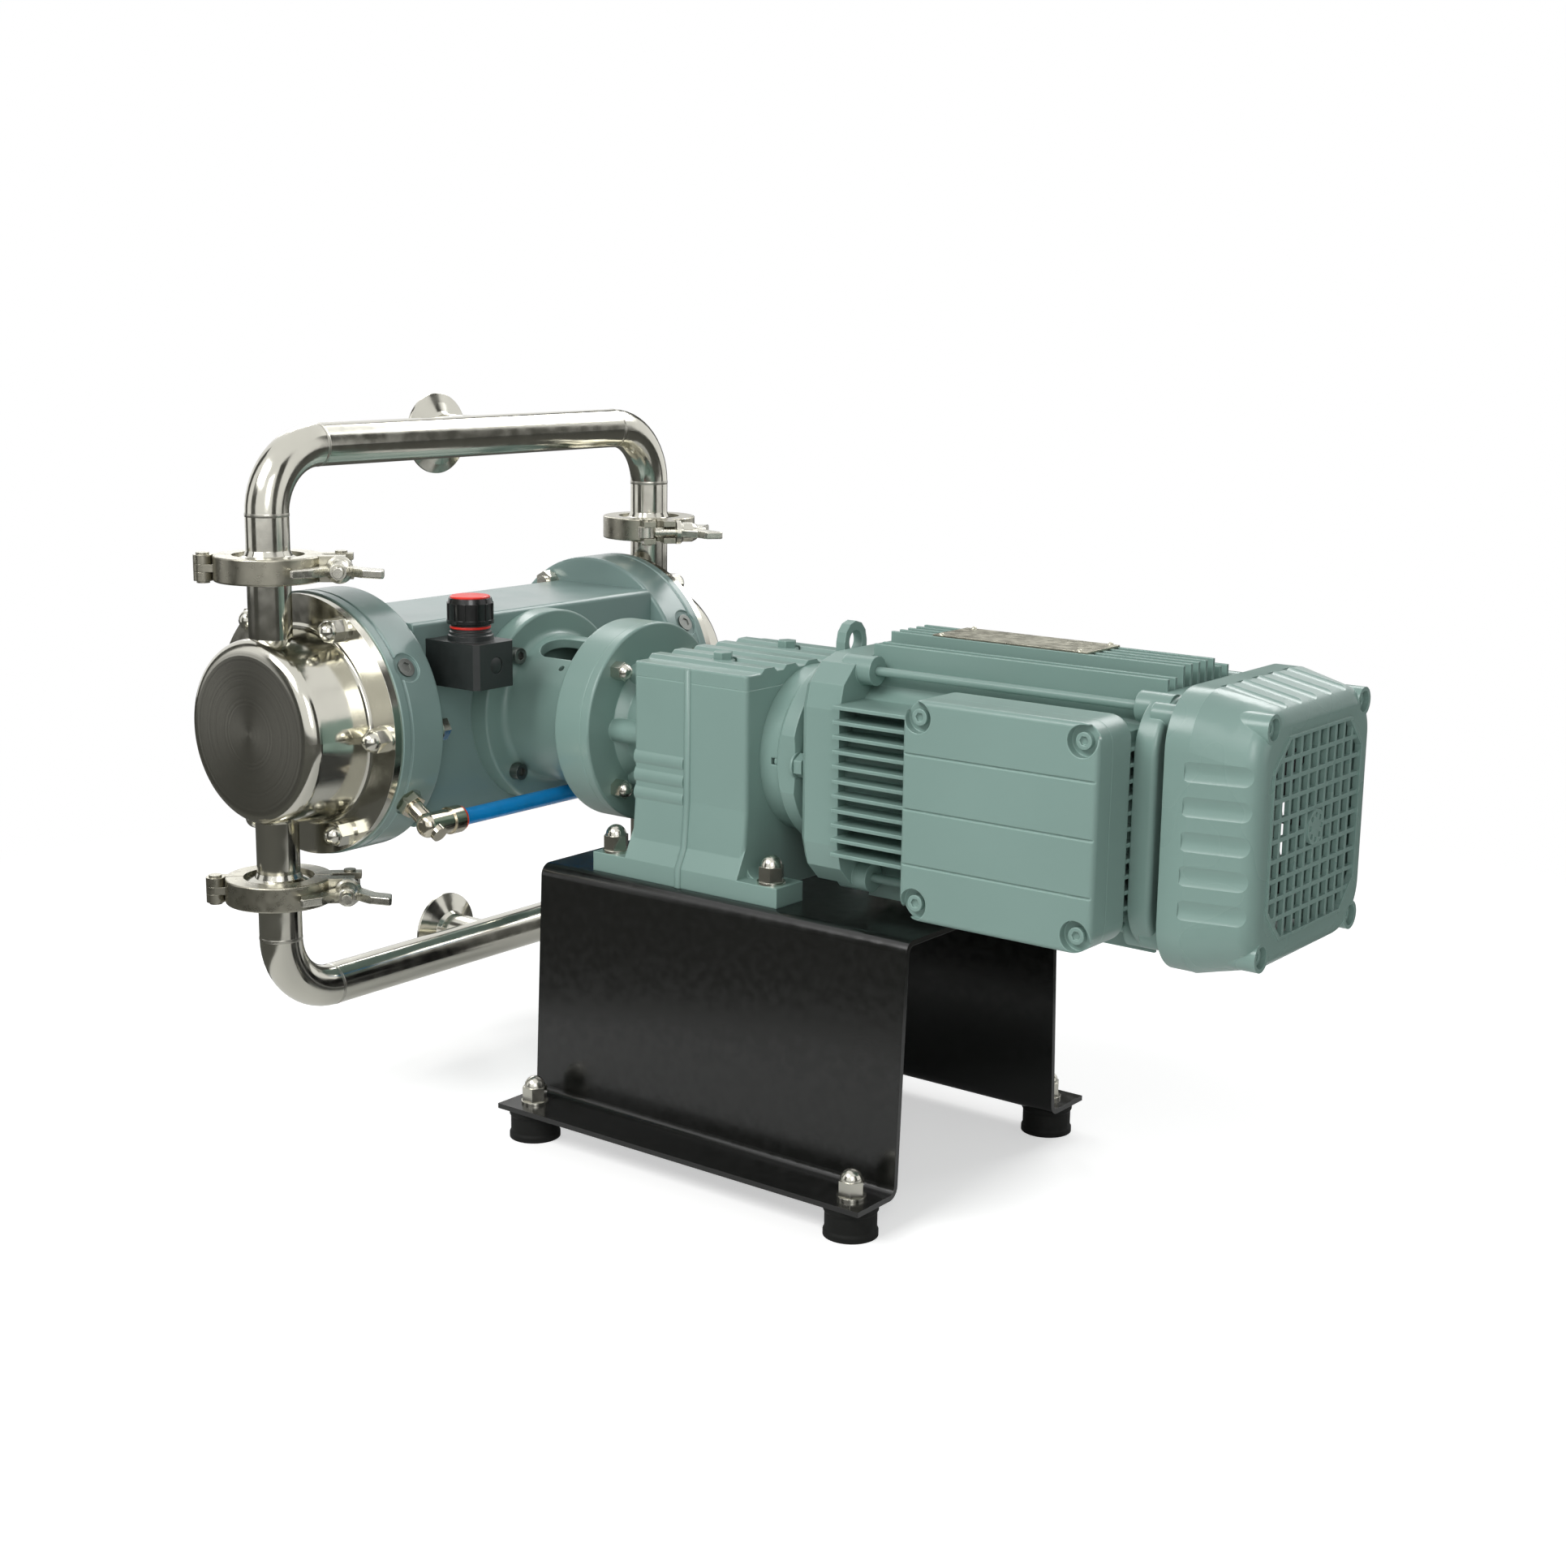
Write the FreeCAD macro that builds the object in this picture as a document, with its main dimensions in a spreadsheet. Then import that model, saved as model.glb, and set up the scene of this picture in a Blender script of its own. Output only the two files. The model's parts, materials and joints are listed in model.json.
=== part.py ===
import FreeCAD
import Part
import Sketcher
import math
import os
import re
from FreeCAD import Placement, Rotation, Vector

# Motor-driven double-diaphragm pump. Millimetres, +Z up, floor at Z = 0.
# X runs along the motor axis towards the fan and Y along the pump axis. X = 0 is the middle of the length.

SIZES = {
    "pump_x": (-249.5, "pump axis along X, so that the whole stands in the middle of the frame"),
    # stand
    "stand_height": (158.5, "top of the stand plate above the floor"),
    "stand_length": (261, "length along X"),
    "stand_reach": (258, "pump axis to the middle of the stand"),
    "plate_half": (77, "half width of the top plate"),
    "wall_foot_half": (83, "half width over the walls at the flanges"),
    "flange_half": (116, "half width over the foot flanges"),
    "sheet_thick": (3, "sheet thickness"),
    "bend_radius": (4, "inner bend radius"),
    "buffer_height": (17.5, "rubber buffer height"),
    "buffer_radius": (15, "rubber buffer radius"),
    "buffer_pitch": (230.4, "buffer pitch along X"),
    "buffer_half": (100.7, "buffer centre from the middle plane"),
    # gear unit
    "gear_foot_length": (135, "length over the feet"),
    "gear_foot_half": (68, "half width over the feet"),
    "gear_foot_width": (24, "width of one foot pad"),
    "gear_foot_thick": (11.3, "foot thickness"),
    "foot_cove": (5.5, "cove between the gear case and its foot pads"),
    "gear_foot_shift": (2, "foot pattern beyond the middle of the gear case"),
    "gear_hole_pitch": (114.5, "foot hole pitch along X"),
    "gear_hole_half": (59.5, "foot hole from the middle plane"),
    "case_length": (82.5, "length of the gear case"),
    "case_reach": (226, "pump axis to the middle of the gear case"),
    "case_half": (60, "half width of the gear case"),
    "sump_depth": (7.1, "room under the intermediate wheel"),
    "cover_room": (14.9, "room between the output wheel and the cover"),
    "case_wall": (5, "gear case wall"),
    "ripple_radius": (6, "ripples on the sides of the gear case"),
    "ripple_rise": (1.2, "ripples stand out from the wall"),
    "cover_thick": (8.5, "gear cover edge thickness"),
    "gear_flange_thick": (6.5, "output flange thickness"),
    "neck_radius": (33, "output neck radius"),
    "tooth_module": (1.5, "gear tooth module"),
    "tooth_tip": (0.9, "tooth above the pitch line, in modules"),
    "tooth_root": (1.2, "tooth below the pitch line, in modules"),
    "output_teeth": (31, "output wheel teeth"),
    "second_pinion_teeth": (13, "intermediate pinion teeth"),
    "first_wheel_teeth": (33, "intermediate wheel teeth"),
    "backlash": (0.35, "tooth backlash at the pitch line"),
    "wheel_width": (14, "face width of the wheels"),
    "pinion_extra": (4, "pinion wider than its wheel"),
    "output_shaft_radius": (10, "output and eccentric shaft radius"),
    "middle_shaft_radius": (6, "intermediate shaft radius"),
    "fit": (0.05, "radial clearance of a running fit"),
    # motor
    "adapter_length": (37.75, "gear case to front end shield"),
    "adapter_radius": (48, "adapter boss radius"),
    "adapter_ring_radius": (53, "adapter ring radius"),
    "adapter_ring_start": (16.75, "adapter ring from the gear case"),
    "adapter_ring_width": (9, "adapter ring width"),
    "adapter_flat": (50.5, "flats of the adapter ring from the middle plane"),
    "adapter_bore": (14, "shaft room in the adapter and front end shield"),
    "adapter_nut_circle": (45.5, "adapter stud circle radius"),
    "motor_spigot": (17.7, "adapter spigot in the gear case"),
    "eye_height": (64, "lifting eye hole above the motor axis"),
    "eye_half": (10.5, "lifting eye half width"),
    "eye_hole": (6.2, "lifting eye hole radius"),
    "eye_thick": (6, "lifting eye thickness"),
    "eye_start": (24, "lifting eye from the gear case"),
    "shield_length": (28, "front end shield length"),
    "shield_half": (64, "end shield half width"),
    "shield_corner": (27, "corner size of the end shields"),
    "tie_lug_radius": (8, "end shield lugs round the tie rods"),
    "tie_lug_reach": (9, "end shield lugs over the stator housing"),
    "stator_length": (177, "stator housing length"),
    "stator_radius": (58, "stator barrel radius"),
    "fin_reach": (70, "fin tips from the axis at the sides"),
    "top_fin_reach": (75, "middle top fin from the axis"),
    "fin_pitch": (8, "fin pitch"),
    "fin_thick": (2, "fin thickness"),
    "rear_shield_length": (20, "rear end shield length"),
    "guard_length": (47, "fan guard length"),
    "guard_half": (71, "fan guard half width at its mouth"),
    "guard_corner": (28, "corner radius of the fan guard's mouth"),
    "guard_band": (13, "straight band at the fan guard's mouth"),
    "guard_taper": (12, "lean of the fan guard behind its band, degrees"),
    "guard_round": (10, "round between the fan guard's sides and its rear"),
    "guard_wall": (2.5, "fan guard wall"),
    "flute_pitch": (17, "pitch of the flutes in the fan guard's sides"),
    "flute_radius": (11, "flute radius"),
    "flute_depth": (1.2, "flute depth"),
    "sleeve_radius": (7.5, "fan guard screw sleeve radius"),
    "grille_half": (49, "grille half width"),
    "grille_corner": (15, "corner cut of the grille"),
    "grille_bar": (2.2, "grille bar width"),
    "grille_cells": (10, "grille cells each way"),
    "grille_lip": (1.5, "raised lip round the grille"),
    "tie_half_y": (42, "tie rod from the middle plane"),
    "tie_half_z": (57, "tie rod above and below the axis"),
    "rotor_shaft_radius": (8.5, "motor shaft radius"),
    "rotor_radius": (33, "rotor core radius"),
    "air_gap": (0.5, "gap between rotor and stator core"),
    "core_length": (110, "rotor and stator core length"),
    "box_length": (112, "terminal box along X"),
    "box_height": (114, "terminal box height"),
    "box_reach": (455.3, "pump axis to the middle of the terminal box"),
    "box_depth": (18, "terminal box base depth"),
    "box_cover_depth": (14, "terminal cover depth"),
    "box_wall": (3.5, "terminal box wall"),
    "box_corner": (12, "terminal box corner radius"),
    "cover_inset": (9, "terminal cover screws from the edges"),
    "cover_recess": (5, "depth of the terminal cover's screw recesses"),
    "cover_recess_radius": (8, "radius of the terminal cover's screw recesses"),
    "plate_length": (95, "rating plate length"),
    "plate_start_gap": (27, "rating plate from the front end of the stator housing"),
    # lantern
    "block_front_reach": (54, "pump axis to the front face of the pump body"),
    "lantern_length": (89, "pump body to gear flange"),
    "lantern_radius": (45, "lantern tube radius"),
    "lantern_wall": (6, "lantern tube wall"),
    "lantern_flange_radius": (60.3, "lantern flange radius"),
    "small_flange_thick": (13, "flange at the pump body"),
    "big_flange_thick": (20.5, "flange at the gear unit"),
    "body_screw_circle": (51, "socket screw circle radius"),
    "gear_screw_circle": (50, "gear flange screw circle radius"),
    "coupling_radius": (21, "coupling radius"),
    "coupling_length": (46, "coupling length"),
    "throw": (5, "eccentric throw, half the pump stroke"),
    "eccentric_radius": (11, "eccentric pin radius"),
    "eccentric_width": (18, "eccentric pin width"),
    # pump
    "block_back_reach": (28, "pump axis to the rear face of the pump body"),
    "block_half_length": (107, "half length of the pump body"),
    "block_half_height": (61.5, "half height of the pump body"),
    "chamber_radius": (40, "crank chamber radius"),
    "rod_radius": (7, "crosshead rod radius"),
    "disc_radius": (79, "air disc radius"),
    "disc_thick": (32, "air disc thickness"),
    "diaphragm_radius": (61, "diaphragm rim radius"),
    "diaphragm_thick": (3, "diaphragm rim thickness"),
    "plate_radius": (25, "diaphragm plate radius"),
    "plate_thick": (13, "diaphragm plate thickness"),
    "head_flange_radius": (78, "head flange radius"),
    "head_flange_thick": (6, "head flange thickness"),
    "head_radius": (54, "head rim radius"),
    "head_root_radius": (58, "head radius at its flange"),
    "head_depth": (48, "head depth from the air disc"),
    "head_wall": (3, "head wall"),
    "head_rim_round": (9, "round between the head's side and end face"),
    "bolt_circle": (69.5, "head stud circle radius"),
    # pipework
    "pipe_half": (168, "vertical pipes from the middle plane"),
    "tube_radius": (12.7, "pipe outer radius, one inch pipe"),
    "tube_wall": (1.65, "pipe wall"),
    "bend": (38.1, "pipe bend radius"),
    "manifold_offset": (164, "manifold pipe above and below the axis"),
    "joint_offset": (95.5, "clamped joint above and below the axis"),
    "port_reach": (34.5, "port face from the manifold axis"),
    "ferrule_radius": (25.25, "ferrule radius, 50.5 mm ferrule"),
    "gasket_thick": (2, "gasket between two ferrules"),
    "clamp_radius": (31.5, "clamp ring outer radius"),
    "clamp_height": (15, "clamp ring height"),
    "clamp_hinge": (37, "hinge pin from the pipe axis"),
    "clamp_bolt": (41, "swing bolt from the pipe axis"),
    "ball_radius": (9, "valve ball radius"),
    "seat_radius": (7, "bore of the ball seat"),
    "stop_height": (24.8, "ball stop above the valve's joint"),
    "stop_radius": (1.5, "ball stop radius"),
    # air line
    "air_tube_radius": (5, "air tube radius"),
    "fitting_angle": (31, "elbow fitting below the horizontal, degrees"),
    "fitting_reach": (100, "air tube from the pump axis"),
    "fitting_y": (126, "elbow fitting from the middle plane"),
    "fitting_radius": (7.2, "elbow fitting arm radius"),
    "fitting_arm": (14, "elbow fitting arm from its corner to its collar"),
    "fitting_collar": (8, "elbow fitting collar length"),
    "socket_depth": (14, "air tube in its fitting"),
    # regulator
    "regulator_y": (-80.5, "regulator middle along Y"),
    "regulator_width": (33, "regulator block along Y"),
    "regulator_depth": (42, "regulator block along X"),
    "regulator_height": (27, "regulator block height"),
    "regulator_top": (51.5, "regulator block top above the axis"),
    "knob_radius": (14, "regulator knob radius"),
    "knob_height": (15, "regulator knob height"),
    "spindle_radius": (4, "regulator spindle radius"),
    # fasteners
    "tie_radius": (2.5, "tie rod and guard screw radius"),
    "guard_screw_y": (51.6, "guard screw from the middle plane"),
    "guard_screw_z": (55.9, "guard screw above and below the axis"),
    "cable_radius": (7.5, "cable entry radius"),
    "window_reach": (100, "pump axis to the middle of the lantern window"),
    "port_seat": (77.5, "flat of a disc port from the pump axis"),
    "rod_reach": (140, "crosshead rod end from the middle"),
    "plate_start": (132, "diaphragm plate from the middle"),
    "ferrule_edge": (1.6, "ferrule rim thickness"),
    "ferrule_slope_run": (5.75, "ferrule back slope, along the radius"),
    "ferrule_slope_rise": (2.1, "ferrule back slope, along the axis"),
    "clamp_lip": (20.8, "inner radius of the clamp lips"),
    "clamp_groove": (26, "groove radius inside the clamp"),
    "clamp_pin_y": (8, "swing bolt pin from the clamp's parting plane"),
    "clamp_lug_y": (11, "outer face of a clamp lug from the parting plane"),
    "nut_gap": (0.5, "free gap under a wing nut, so that the bolt can swing"),
    "wing_thick": (4.8, "wing thickness"),
    "m8_radius": (4, "M8 shank radius"),
    "m8_hex": (6.5, "M8 nut half width over flats"),
    "m6_radius": (3, "M6 shank radius"),
    "m6_hex": (5, "M6 nut half width over flats"),
    "hole_gap": (0.5, "clearance hole, radial"),
}

DERIVED = {
    "stand_middle": "pump_x + stand_reach",
    "case_middle": "pump_x + case_reach",
    "box_middle": "pump_x + box_reach",
    "block_front": "pump_x + block_front_reach",
    "block_back": "pump_x - block_back_reach",
    "window_middle": "pump_x + window_reach",
    "flange_top": "buffer_height + sheet_thick",
    "shaft_drop": "tooth_module*(output_teeth + second_pinion_teeth)/2",
    "motor_pinion_teeth": "output_teeth + second_pinion_teeth - first_wheel_teeth",
    "output_tip": "tooth_module*(output_teeth/2 + tooth_tip)",
    "first_wheel_tip": "tooth_module*(first_wheel_teeth/2 + tooth_tip)",
    "shaft_height": "shaft_drop + first_wheel_tip + sump_depth + gear_foot_thick",
    "axis_height": "stand_height + shaft_height",
    "case_height": "shaft_height + output_tip + cover_room",
    "case_back": "case_middle - case_length/2",
    "case_front": "case_middle + case_length/2",
    "case_top": "stand_height + case_height",
    "foot_middle": "case_middle + gear_foot_shift",
    "adapter_ring_end": "adapter_ring_start + adapter_ring_width",
    "gear_flange_front": "block_front + lantern_length",
    "gear_flange_back": "gear_flange_front + gear_flange_thick",
    "shield_start": "case_front + adapter_length",
    "stator_start": "shield_start + shield_length",
    "rear_shield_start": "stator_start + stator_length",
    "guard_start": "rear_shield_start + rear_shield_length",
    "guard_end": "guard_start + guard_length",
    "box_face": "fin_reach + box_depth",
    "middle_shaft_height": "axis_height - shaft_drop",
    "flange_face": "block_half_length + disc_thick",
    "cover_face": "box_face + box_cover_depth",
    "web_start": "case_middle + 0.5",
    "first_wheel_start": "web_start + 12",
    "box_start": "box_middle - box_length/2",
    "box_bottom": "axis_height - box_height/2",
}

doc = FreeCAD.newDocument("DiaphragmPump")
sheet = doc.addObject("Spreadsheet::Sheet", "Sizes")
NAMES = set(SIZES) | set(DERIVED)


def bound(text):
    """A length written with the sheet's names, as an expression for a property."""

    def full_name(word):
        return "Sizes." + word.group() if word.group() in NAMES else word.group()

    return re.sub(r"[a-z_][a-z0-9_]*", full_name, str(text))


def num(text):
    """The value of a length written with the sheet's names."""
    return float(sheet.evalExpression(bound(text)))


def fill_sheet():
    row = 1
    for name, (value, note) in SIZES.items():
        sheet.set("A%d" % row, name)
        sheet.set("B%d" % row, str(value))
        sheet.set("C%d" % row, note)
        sheet.setAlias("B%d" % row, name)
        row += 1
    for name, text in DERIVED.items():
        sheet.set("A%d" % row, name)
        sheet.set("B%d" % row, "=" + text)
        sheet.setAlias("B%d" % row, name)
        row += 1
    doc.recompute()


fill_sheet()

TURN = {"x": Rotation(Vector(0, 1, 0), 90), "y": Rotation(Vector(1, 0, 0), -90), "z": Rotation()}
TURN["-x"] = Rotation(Vector(0, 1, 0), -90)
TURN["-y"] = Rotation(Vector(1, 0, 0), 90)
TURN["-z"] = Rotation(Vector(1, 0, 0), 180)


def turn_of(axis):
    """A rotation that takes local Z along a named axis, or the rotation itself."""
    return TURN[axis] if isinstance(axis, str) else axis


def radial(degrees):
    """The rotation that takes local Z outwards in the XZ plane, degrees above +X."""
    return Rotation(Vector(0, 1, 0), 90 - degrees)


def around(radius, degrees):
    """Y and Z of a point on a circle about the motor axis."""
    return "(%s)*cos(%g)" % (radius, degrees), "axis_height + (%s)*sin(%g)" % (radius, degrees)


def beside(radius, degrees):
    """X and Z of a point on a circle about the pump axis."""
    return "pump_x + (%s)*cos(%g)" % (radius, degrees), "axis_height + (%s)*sin(%g)" % (radius, degrees)


def place(thing, at, rotation=None):
    """Set a placement whose base follows the sheet."""
    thing.Placement = Placement(Vector(num(at[0]), num(at[1]), num(at[2])), rotation or Rotation())
    for letter, text in zip("xyz", at):
        thing.setExpression("Placement.Base." + letter, bound(text))
    return thing


def box(name, size, at):
    """A block with its lowest corner at a point."""
    block = doc.addObject("Part::Box", name)
    for side, text in zip(("Length", "Width", "Height"), size):
        block.setExpression(side, bound(text))
    return place(block, at)


def rod(name, radius, length, at, axis="z"):
    """A cylinder that starts at a point and runs along an axis."""
    cylinder = doc.addObject("Part::Cylinder", name)
    cylinder.setExpression("Radius", bound(radius))
    cylinder.setExpression("Height", bound(length))
    return place(cylinder, at, turn_of(axis))


def hexagon(name, half_flats, length, at, axis="z", spin=0):
    """A hexagonal prism that starts at a point and runs along an axis."""
    prism = doc.addObject("Part::Prism", name)
    prism.Polygon = 6
    prism.setExpression("Circumradius", bound("(%s)/cos(30)" % half_flats))
    prism.setExpression("Height", bound(length))
    return place(prism, at, turn_of(axis) * Rotation(Vector(0, 0, 1), spin))


def fuse(name, things):
    joined = doc.addObject("Part::MultiFuse", name)
    joined.Shapes = things
    joined.Refine = True
    joined.Label = name
    return joined


def cut(name, base, tools):
    taken = tools[0]
    if len(tools) > 1:
        taken = doc.addObject("Part::Compound", name + "_openings")
        taken.Links = tools
    left = doc.addObject("Part::Cut", name)
    left.Base = base
    left.Tool = taken
    left.Refine = True
    left.Label = name
    return left


def common(name, one, other):
    shared = doc.addObject("Part::Common", name)
    shared.Base = one
    shared.Tool = other
    return shared


def mirrored(name, source):
    """The same piece on the other side of the plane Y = 0."""
    other = doc.addObject("Part::Mirroring", name)
    other.Source = source
    other.Normal = Vector(0, 1, 0)
    other.Label = name
    return other


def group(name, things):
    together = doc.addObject("Part::Compound", name)
    together.Links = things
    together.Label = name
    return together


def shaped(name, shape):
    """A piece whose shape is worked out here from the sheet's sizes."""
    piece = doc.addObject("Part::Feature", name)
    piece.Shape = shape
    piece.Label = name
    return piece


def new_body(name, at=(0, 0, 0), rotation=None):
    body = doc.addObject("PartDesign::Body", name)
    body.Label = name
    return place(body, at, rotation)


def outline(body, plane, loops, offset=None):
    """A sketch on one of the body's own planes. A loop is a list of points, or a circle as (x, y, radius)."""
    sketch = body.newObject("Sketcher::SketchObject", body.Name + "_sketch")
    origin = [o for o in body.Origin.OriginFeatures if o.Role == plane + "_Plane"][0]
    sketch.AttachmentSupport = [(origin, "")]
    sketch.MapMode = "FlatFace"
    if offset is not None:
        sketch.setExpression("AttachmentOffset.Base.z", bound(offset))
    for loop in loops:
        if isinstance(loop, tuple):
            add_circle(sketch, loop)
        else:
            add_polygon(sketch, loop)
    return sketch


def pin_point(sketch, edge, end, point):
    for kind, text in zip(("DistanceX", "DistanceY"), point):
        index = sketch.addConstraint(Sketcher.Constraint(kind, -1, 1, edge, end, num(text)))
        sketch.setExpression("Constraints[%d]" % index, bound(text))


def add_circle(sketch, loop):
    x, y, radius = loop
    edge = sketch.addGeometry(Part.Circle(Vector(num(x), num(y), 0), Vector(0, 0, 1), num(radius)), False)
    pin_point(sketch, edge, 3, (x, y))
    index = sketch.addConstraint(Sketcher.Constraint("Radius", edge, num(radius)))
    sketch.setExpression("Constraints[%d]" % index, bound(radius))


def add_polygon(sketch, points):
    corners = [Vector(num(x), num(y), 0) for x, y in points]
    count = len(corners)
    first = sketch.GeometryCount
    for i, corner in enumerate(corners):
        sketch.addGeometry(Part.LineSegment(corner, corners[(i + 1) % count]), False)
    for i in range(count):
        sketch.addConstraint(Sketcher.Constraint("Coincident", first + i, 2, first + (i + 1) % count, 1))
    for i, point in enumerate(points):
        pin_point(sketch, first + i, 1, point)


def pad(body, sketch, length, both=False, back=False):
    feature = body.newObject("PartDesign::Pad", body.Name + "_pad")
    feature.Profile = sketch
    feature.setExpression("Length", bound(length))
    feature.Midplane = both
    feature.Reversed = back
    return feature


def pocket(body, sketch, length=None, both=False, back=False):
    feature = body.newObject("PartDesign::Pocket", body.Name + "_pocket")
    feature.Profile = sketch
    if length is None:
        feature.Type = "ThroughAll"
    else:
        feature.setExpression("Length", bound(length))
    feature.Midplane = both
    feature.Reversed = back
    return feature


def revolve(body, sketch):
    feature = body.newObject("PartDesign::Revolution", body.Name + "_turned")
    feature.Profile = sketch
    feature.ReferenceAxis = (sketch, ["V_Axis"])
    feature.Angle = 360
    return feature


def soften(body, feature, radius, wanted, kind="Fillet"):
    """Round or chamfer the edges of a feature that a test picks."""
    doc.recompute()
    names = ["Edge%d" % (i + 1) for i, edge in enumerate(feature.Shape.Edges) if wanted(edge)]
    softened = body.newObject("PartDesign::" + kind, body.Name + "_" + kind.lower())
    softened.Base = (feature, names)
    softened.setExpression("Radius" if kind == "Fillet" else "Size", bound(radius))
    return softened


def turned(name, profile, at=(0, 0, 0), axis="z"):
    """A turned piece: a profile of (radius, height) points about its own axis."""
    body = new_body(name, at, turn_of(axis))
    revolve(body, outline(body, "XZ", [profile]))
    return body


def ring(name, inner, outer, width, at, axis):
    return turned(name, [(inner, 0), (outer, 0), (outer, width), (inner, width)], at, axis)


def along(edge, axis):
    """Is this a straight edge along an axis?"""
    if edge.Curve.TypeId != "Part::GeomLine":
        return False
    way = edge.Curve.Direction
    return abs(abs({"x": way.x, "y": way.y, "z": way.z}[axis]) - 1) < 1e-6


def is_ring(edge, radius, height=None):
    """Is this a circle of a radius, at a height on its own body's axis?"""
    if edge.Curve.TypeId != "Part::GeomCircle" or abs(edge.Curve.Radius - num(radius)) > 1e-4:
        return False
    return height is None or abs(edge.Curve.Center.z - num(height)) < 1e-4


ADAPTER_ANGLES = (0, 180, 240, 300)


def stand():
    """A bent sheet: top plate, two splayed walls and two flanges that carry the buffers."""
    body = new_body("stand", ("stand_middle - stand_length/2", 0, 0))
    half = [
        ("flange_half", "buffer_height"), ("flange_half", "flange_top"), ("wall_foot_half", "flange_top"),
        ("plate_half", "stand_height"),
    ]
    inner = [
        ("plate_half - sheet_thick", "stand_height - sheet_thick"),
        ("wall_foot_half - sheet_thick", "buffer_height"),
    ]
    profile = half + [("-(%s)" % x, z) for x, z in reversed(half)]
    profile += [("-(%s)" % x, z) for x, z in reversed(inner)] + inner
    sheet_pad = pad(body, outline(body, "YZ", [profile]), "stand_length")

    def bend(edge, outer):
        if not along(edge, "x"):
            return False
        y, z = abs(edge.Vertexes[0].Point.y), edge.Vertexes[0].Point.z
        at_top = abs(z - num("stand_height - sheet_thick")) < 0.01 or abs(z - num("stand_height")) < 0.01
        at_foot = y < num("wall_foot_half") + 0.01
        convex = abs(z - num("stand_height")) < 0.01 or abs(z - num("buffer_height")) < 0.01
        return (at_top or at_foot) and convex == outer

    bent = soften(body, sheet_pad, "bend_radius + sheet_thick", lambda e: bend(e, True))
    soften(body, bent, "bend_radius", lambda e: bend(e, False))
    hole = "m8_radius + hole_gap"
    feet = [(x, y, hole) for x, y in four_points("stand_length/2", "buffer_pitch", "buffer_half")]
    pocket(body, outline(body, "XY", feet, "flange_top + 1"), "sheet_thick + 2")
    gear = "foot_middle - stand_middle + stand_length/2"
    seats = [(x, y, hole) for x, y in four_points(gear, "gear_hole_pitch", "gear_hole_half")]
    pocket(body, outline(body, "XY", seats, "stand_height + 1"), "sheet_thick + 2")


def four_points(middle, pitch, half):
    """Two points along X and two along Y."""
    return [("%s + %d*%s/2" % (middle, i, pitch), "%d*%s" % (k, half)) for i in (-1, 1) for k in (-1, 1)]


def buffer_points():
    return four_points("stand_middle", "buffer_pitch", "buffer_half")


def gear_foot_points():
    return four_points("foot_middle", "gear_hole_pitch", "gear_hole_half")


def rubber_feet():
    feet = []
    for i, (x, y) in enumerate(buffer_points()):
        waist = "buffer_radius - 0.8"
        profile = [
            (0, 0), ("buffer_radius", 0), ("buffer_radius", "buffer_height/6"), (waist, "buffer_height/4"),
            (waist, "buffer_height*3/4"), ("buffer_radius", "buffer_height*5/6"), ("buffer_radius", "buffer_height"),
            ("m8_radius + fit", "buffer_height"), ("m8_radius + fit", "buffer_height/2"), (0, "buffer_height/2"),
        ]
        feet.append(turned("buffer_%d" % i, profile, (x, y, 0)))
    group("rubber_feet", feet)


def acorn(name, size, reach, at, axis, washer=True):
    """An acorn nut on its washer and stud. It sits on a face, and the stud reaches back through it."""
    hexes = {"m8": ("m8_radius", "m8_hex", 8.5, 8), "m6": ("m6_radius", "m6_hex", 7, 6.5)}
    shank, flats, hex_tall, washer_reach = hexes[size]
    thick = 1.6 if washer else 0
    turn = TURN[axis]
    way = turn.multVec(Vector(0, 0, 1))

    def along_axis(step):
        return tuple("(%s) + %g" % (text, step * part) for text, part in zip(at, (way.x, way.y, way.z)))

    pieces = [hexagon(name + "_hex", flats, hex_tall, along_axis(thick), axis)]
    dome = doc.addObject("Part::Sphere", name + "_dome")
    dome.setExpression("Radius", bound(flats + " - 0.4"))
    dome.Angle1 = 0
    pieces.append(place(dome, along_axis(thick + hex_tall), turn))
    if washer:
        pieces.append(rod(name + "_washer", washer_reach, thick, at, axis))
    pieces.append(rod(name + "_stud", shank, reach, at, turn * TURN["-z"]))
    return fuse(name, pieces)


def stainless_nuts():
    """Bolts and studs with acorn nuts: buffers, gear feet and gear flange."""
    nuts = []
    foot_reach = "sheet_thick + buffer_height/2 - 0.5"
    for i, (x, y) in enumerate(buffer_points()):
        nuts.append(acorn("foot_nut_%d" % i, "m8", foot_reach, (x, y, "flange_top"), "z"))
    for i, (x, y) in enumerate(gear_foot_points()):
        seat = "stand_height + gear_foot_thick"
        top = acorn("gear_nut_%d" % i, "m8", "gear_foot_thick + sheet_thick + 4", (x, y, seat), "z")
        head = hexagon("gear_bolt_head_%d" % i, "m8_hex", 5, (x, y, "stand_height - sheet_thick - 5"))
        nuts.append(fuse("gear_bolt_%d" % i, [top, head]))
    flange_reach = "gear_flange_thick + big_flange_thick + 2"
    head_start = "gear_flange_front - big_flange_thick - 4"
    for i, (y, z) in enumerate(gear_screw_points()):
        top = acorn("flange_nut_%d" % i, "m6", flange_reach, ("gear_flange_back", y, z), "x", False)
        head = hexagon("flange_bolt_head_%d" % i, "m6_hex - 0.1", 4, (head_start, y, z), "x")
        nuts.append(fuse("flange_bolt_%d" % i, [top, head]))
    group("stainless_nuts", nuts)


def gear_screw_points():
    return [around("gear_screw_circle", 45 + 90 * i) for i in range(4)]


def body_screw_points():
    return [around("body_screw_circle", 45 + 90 * i) for i in range(4)]


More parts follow.
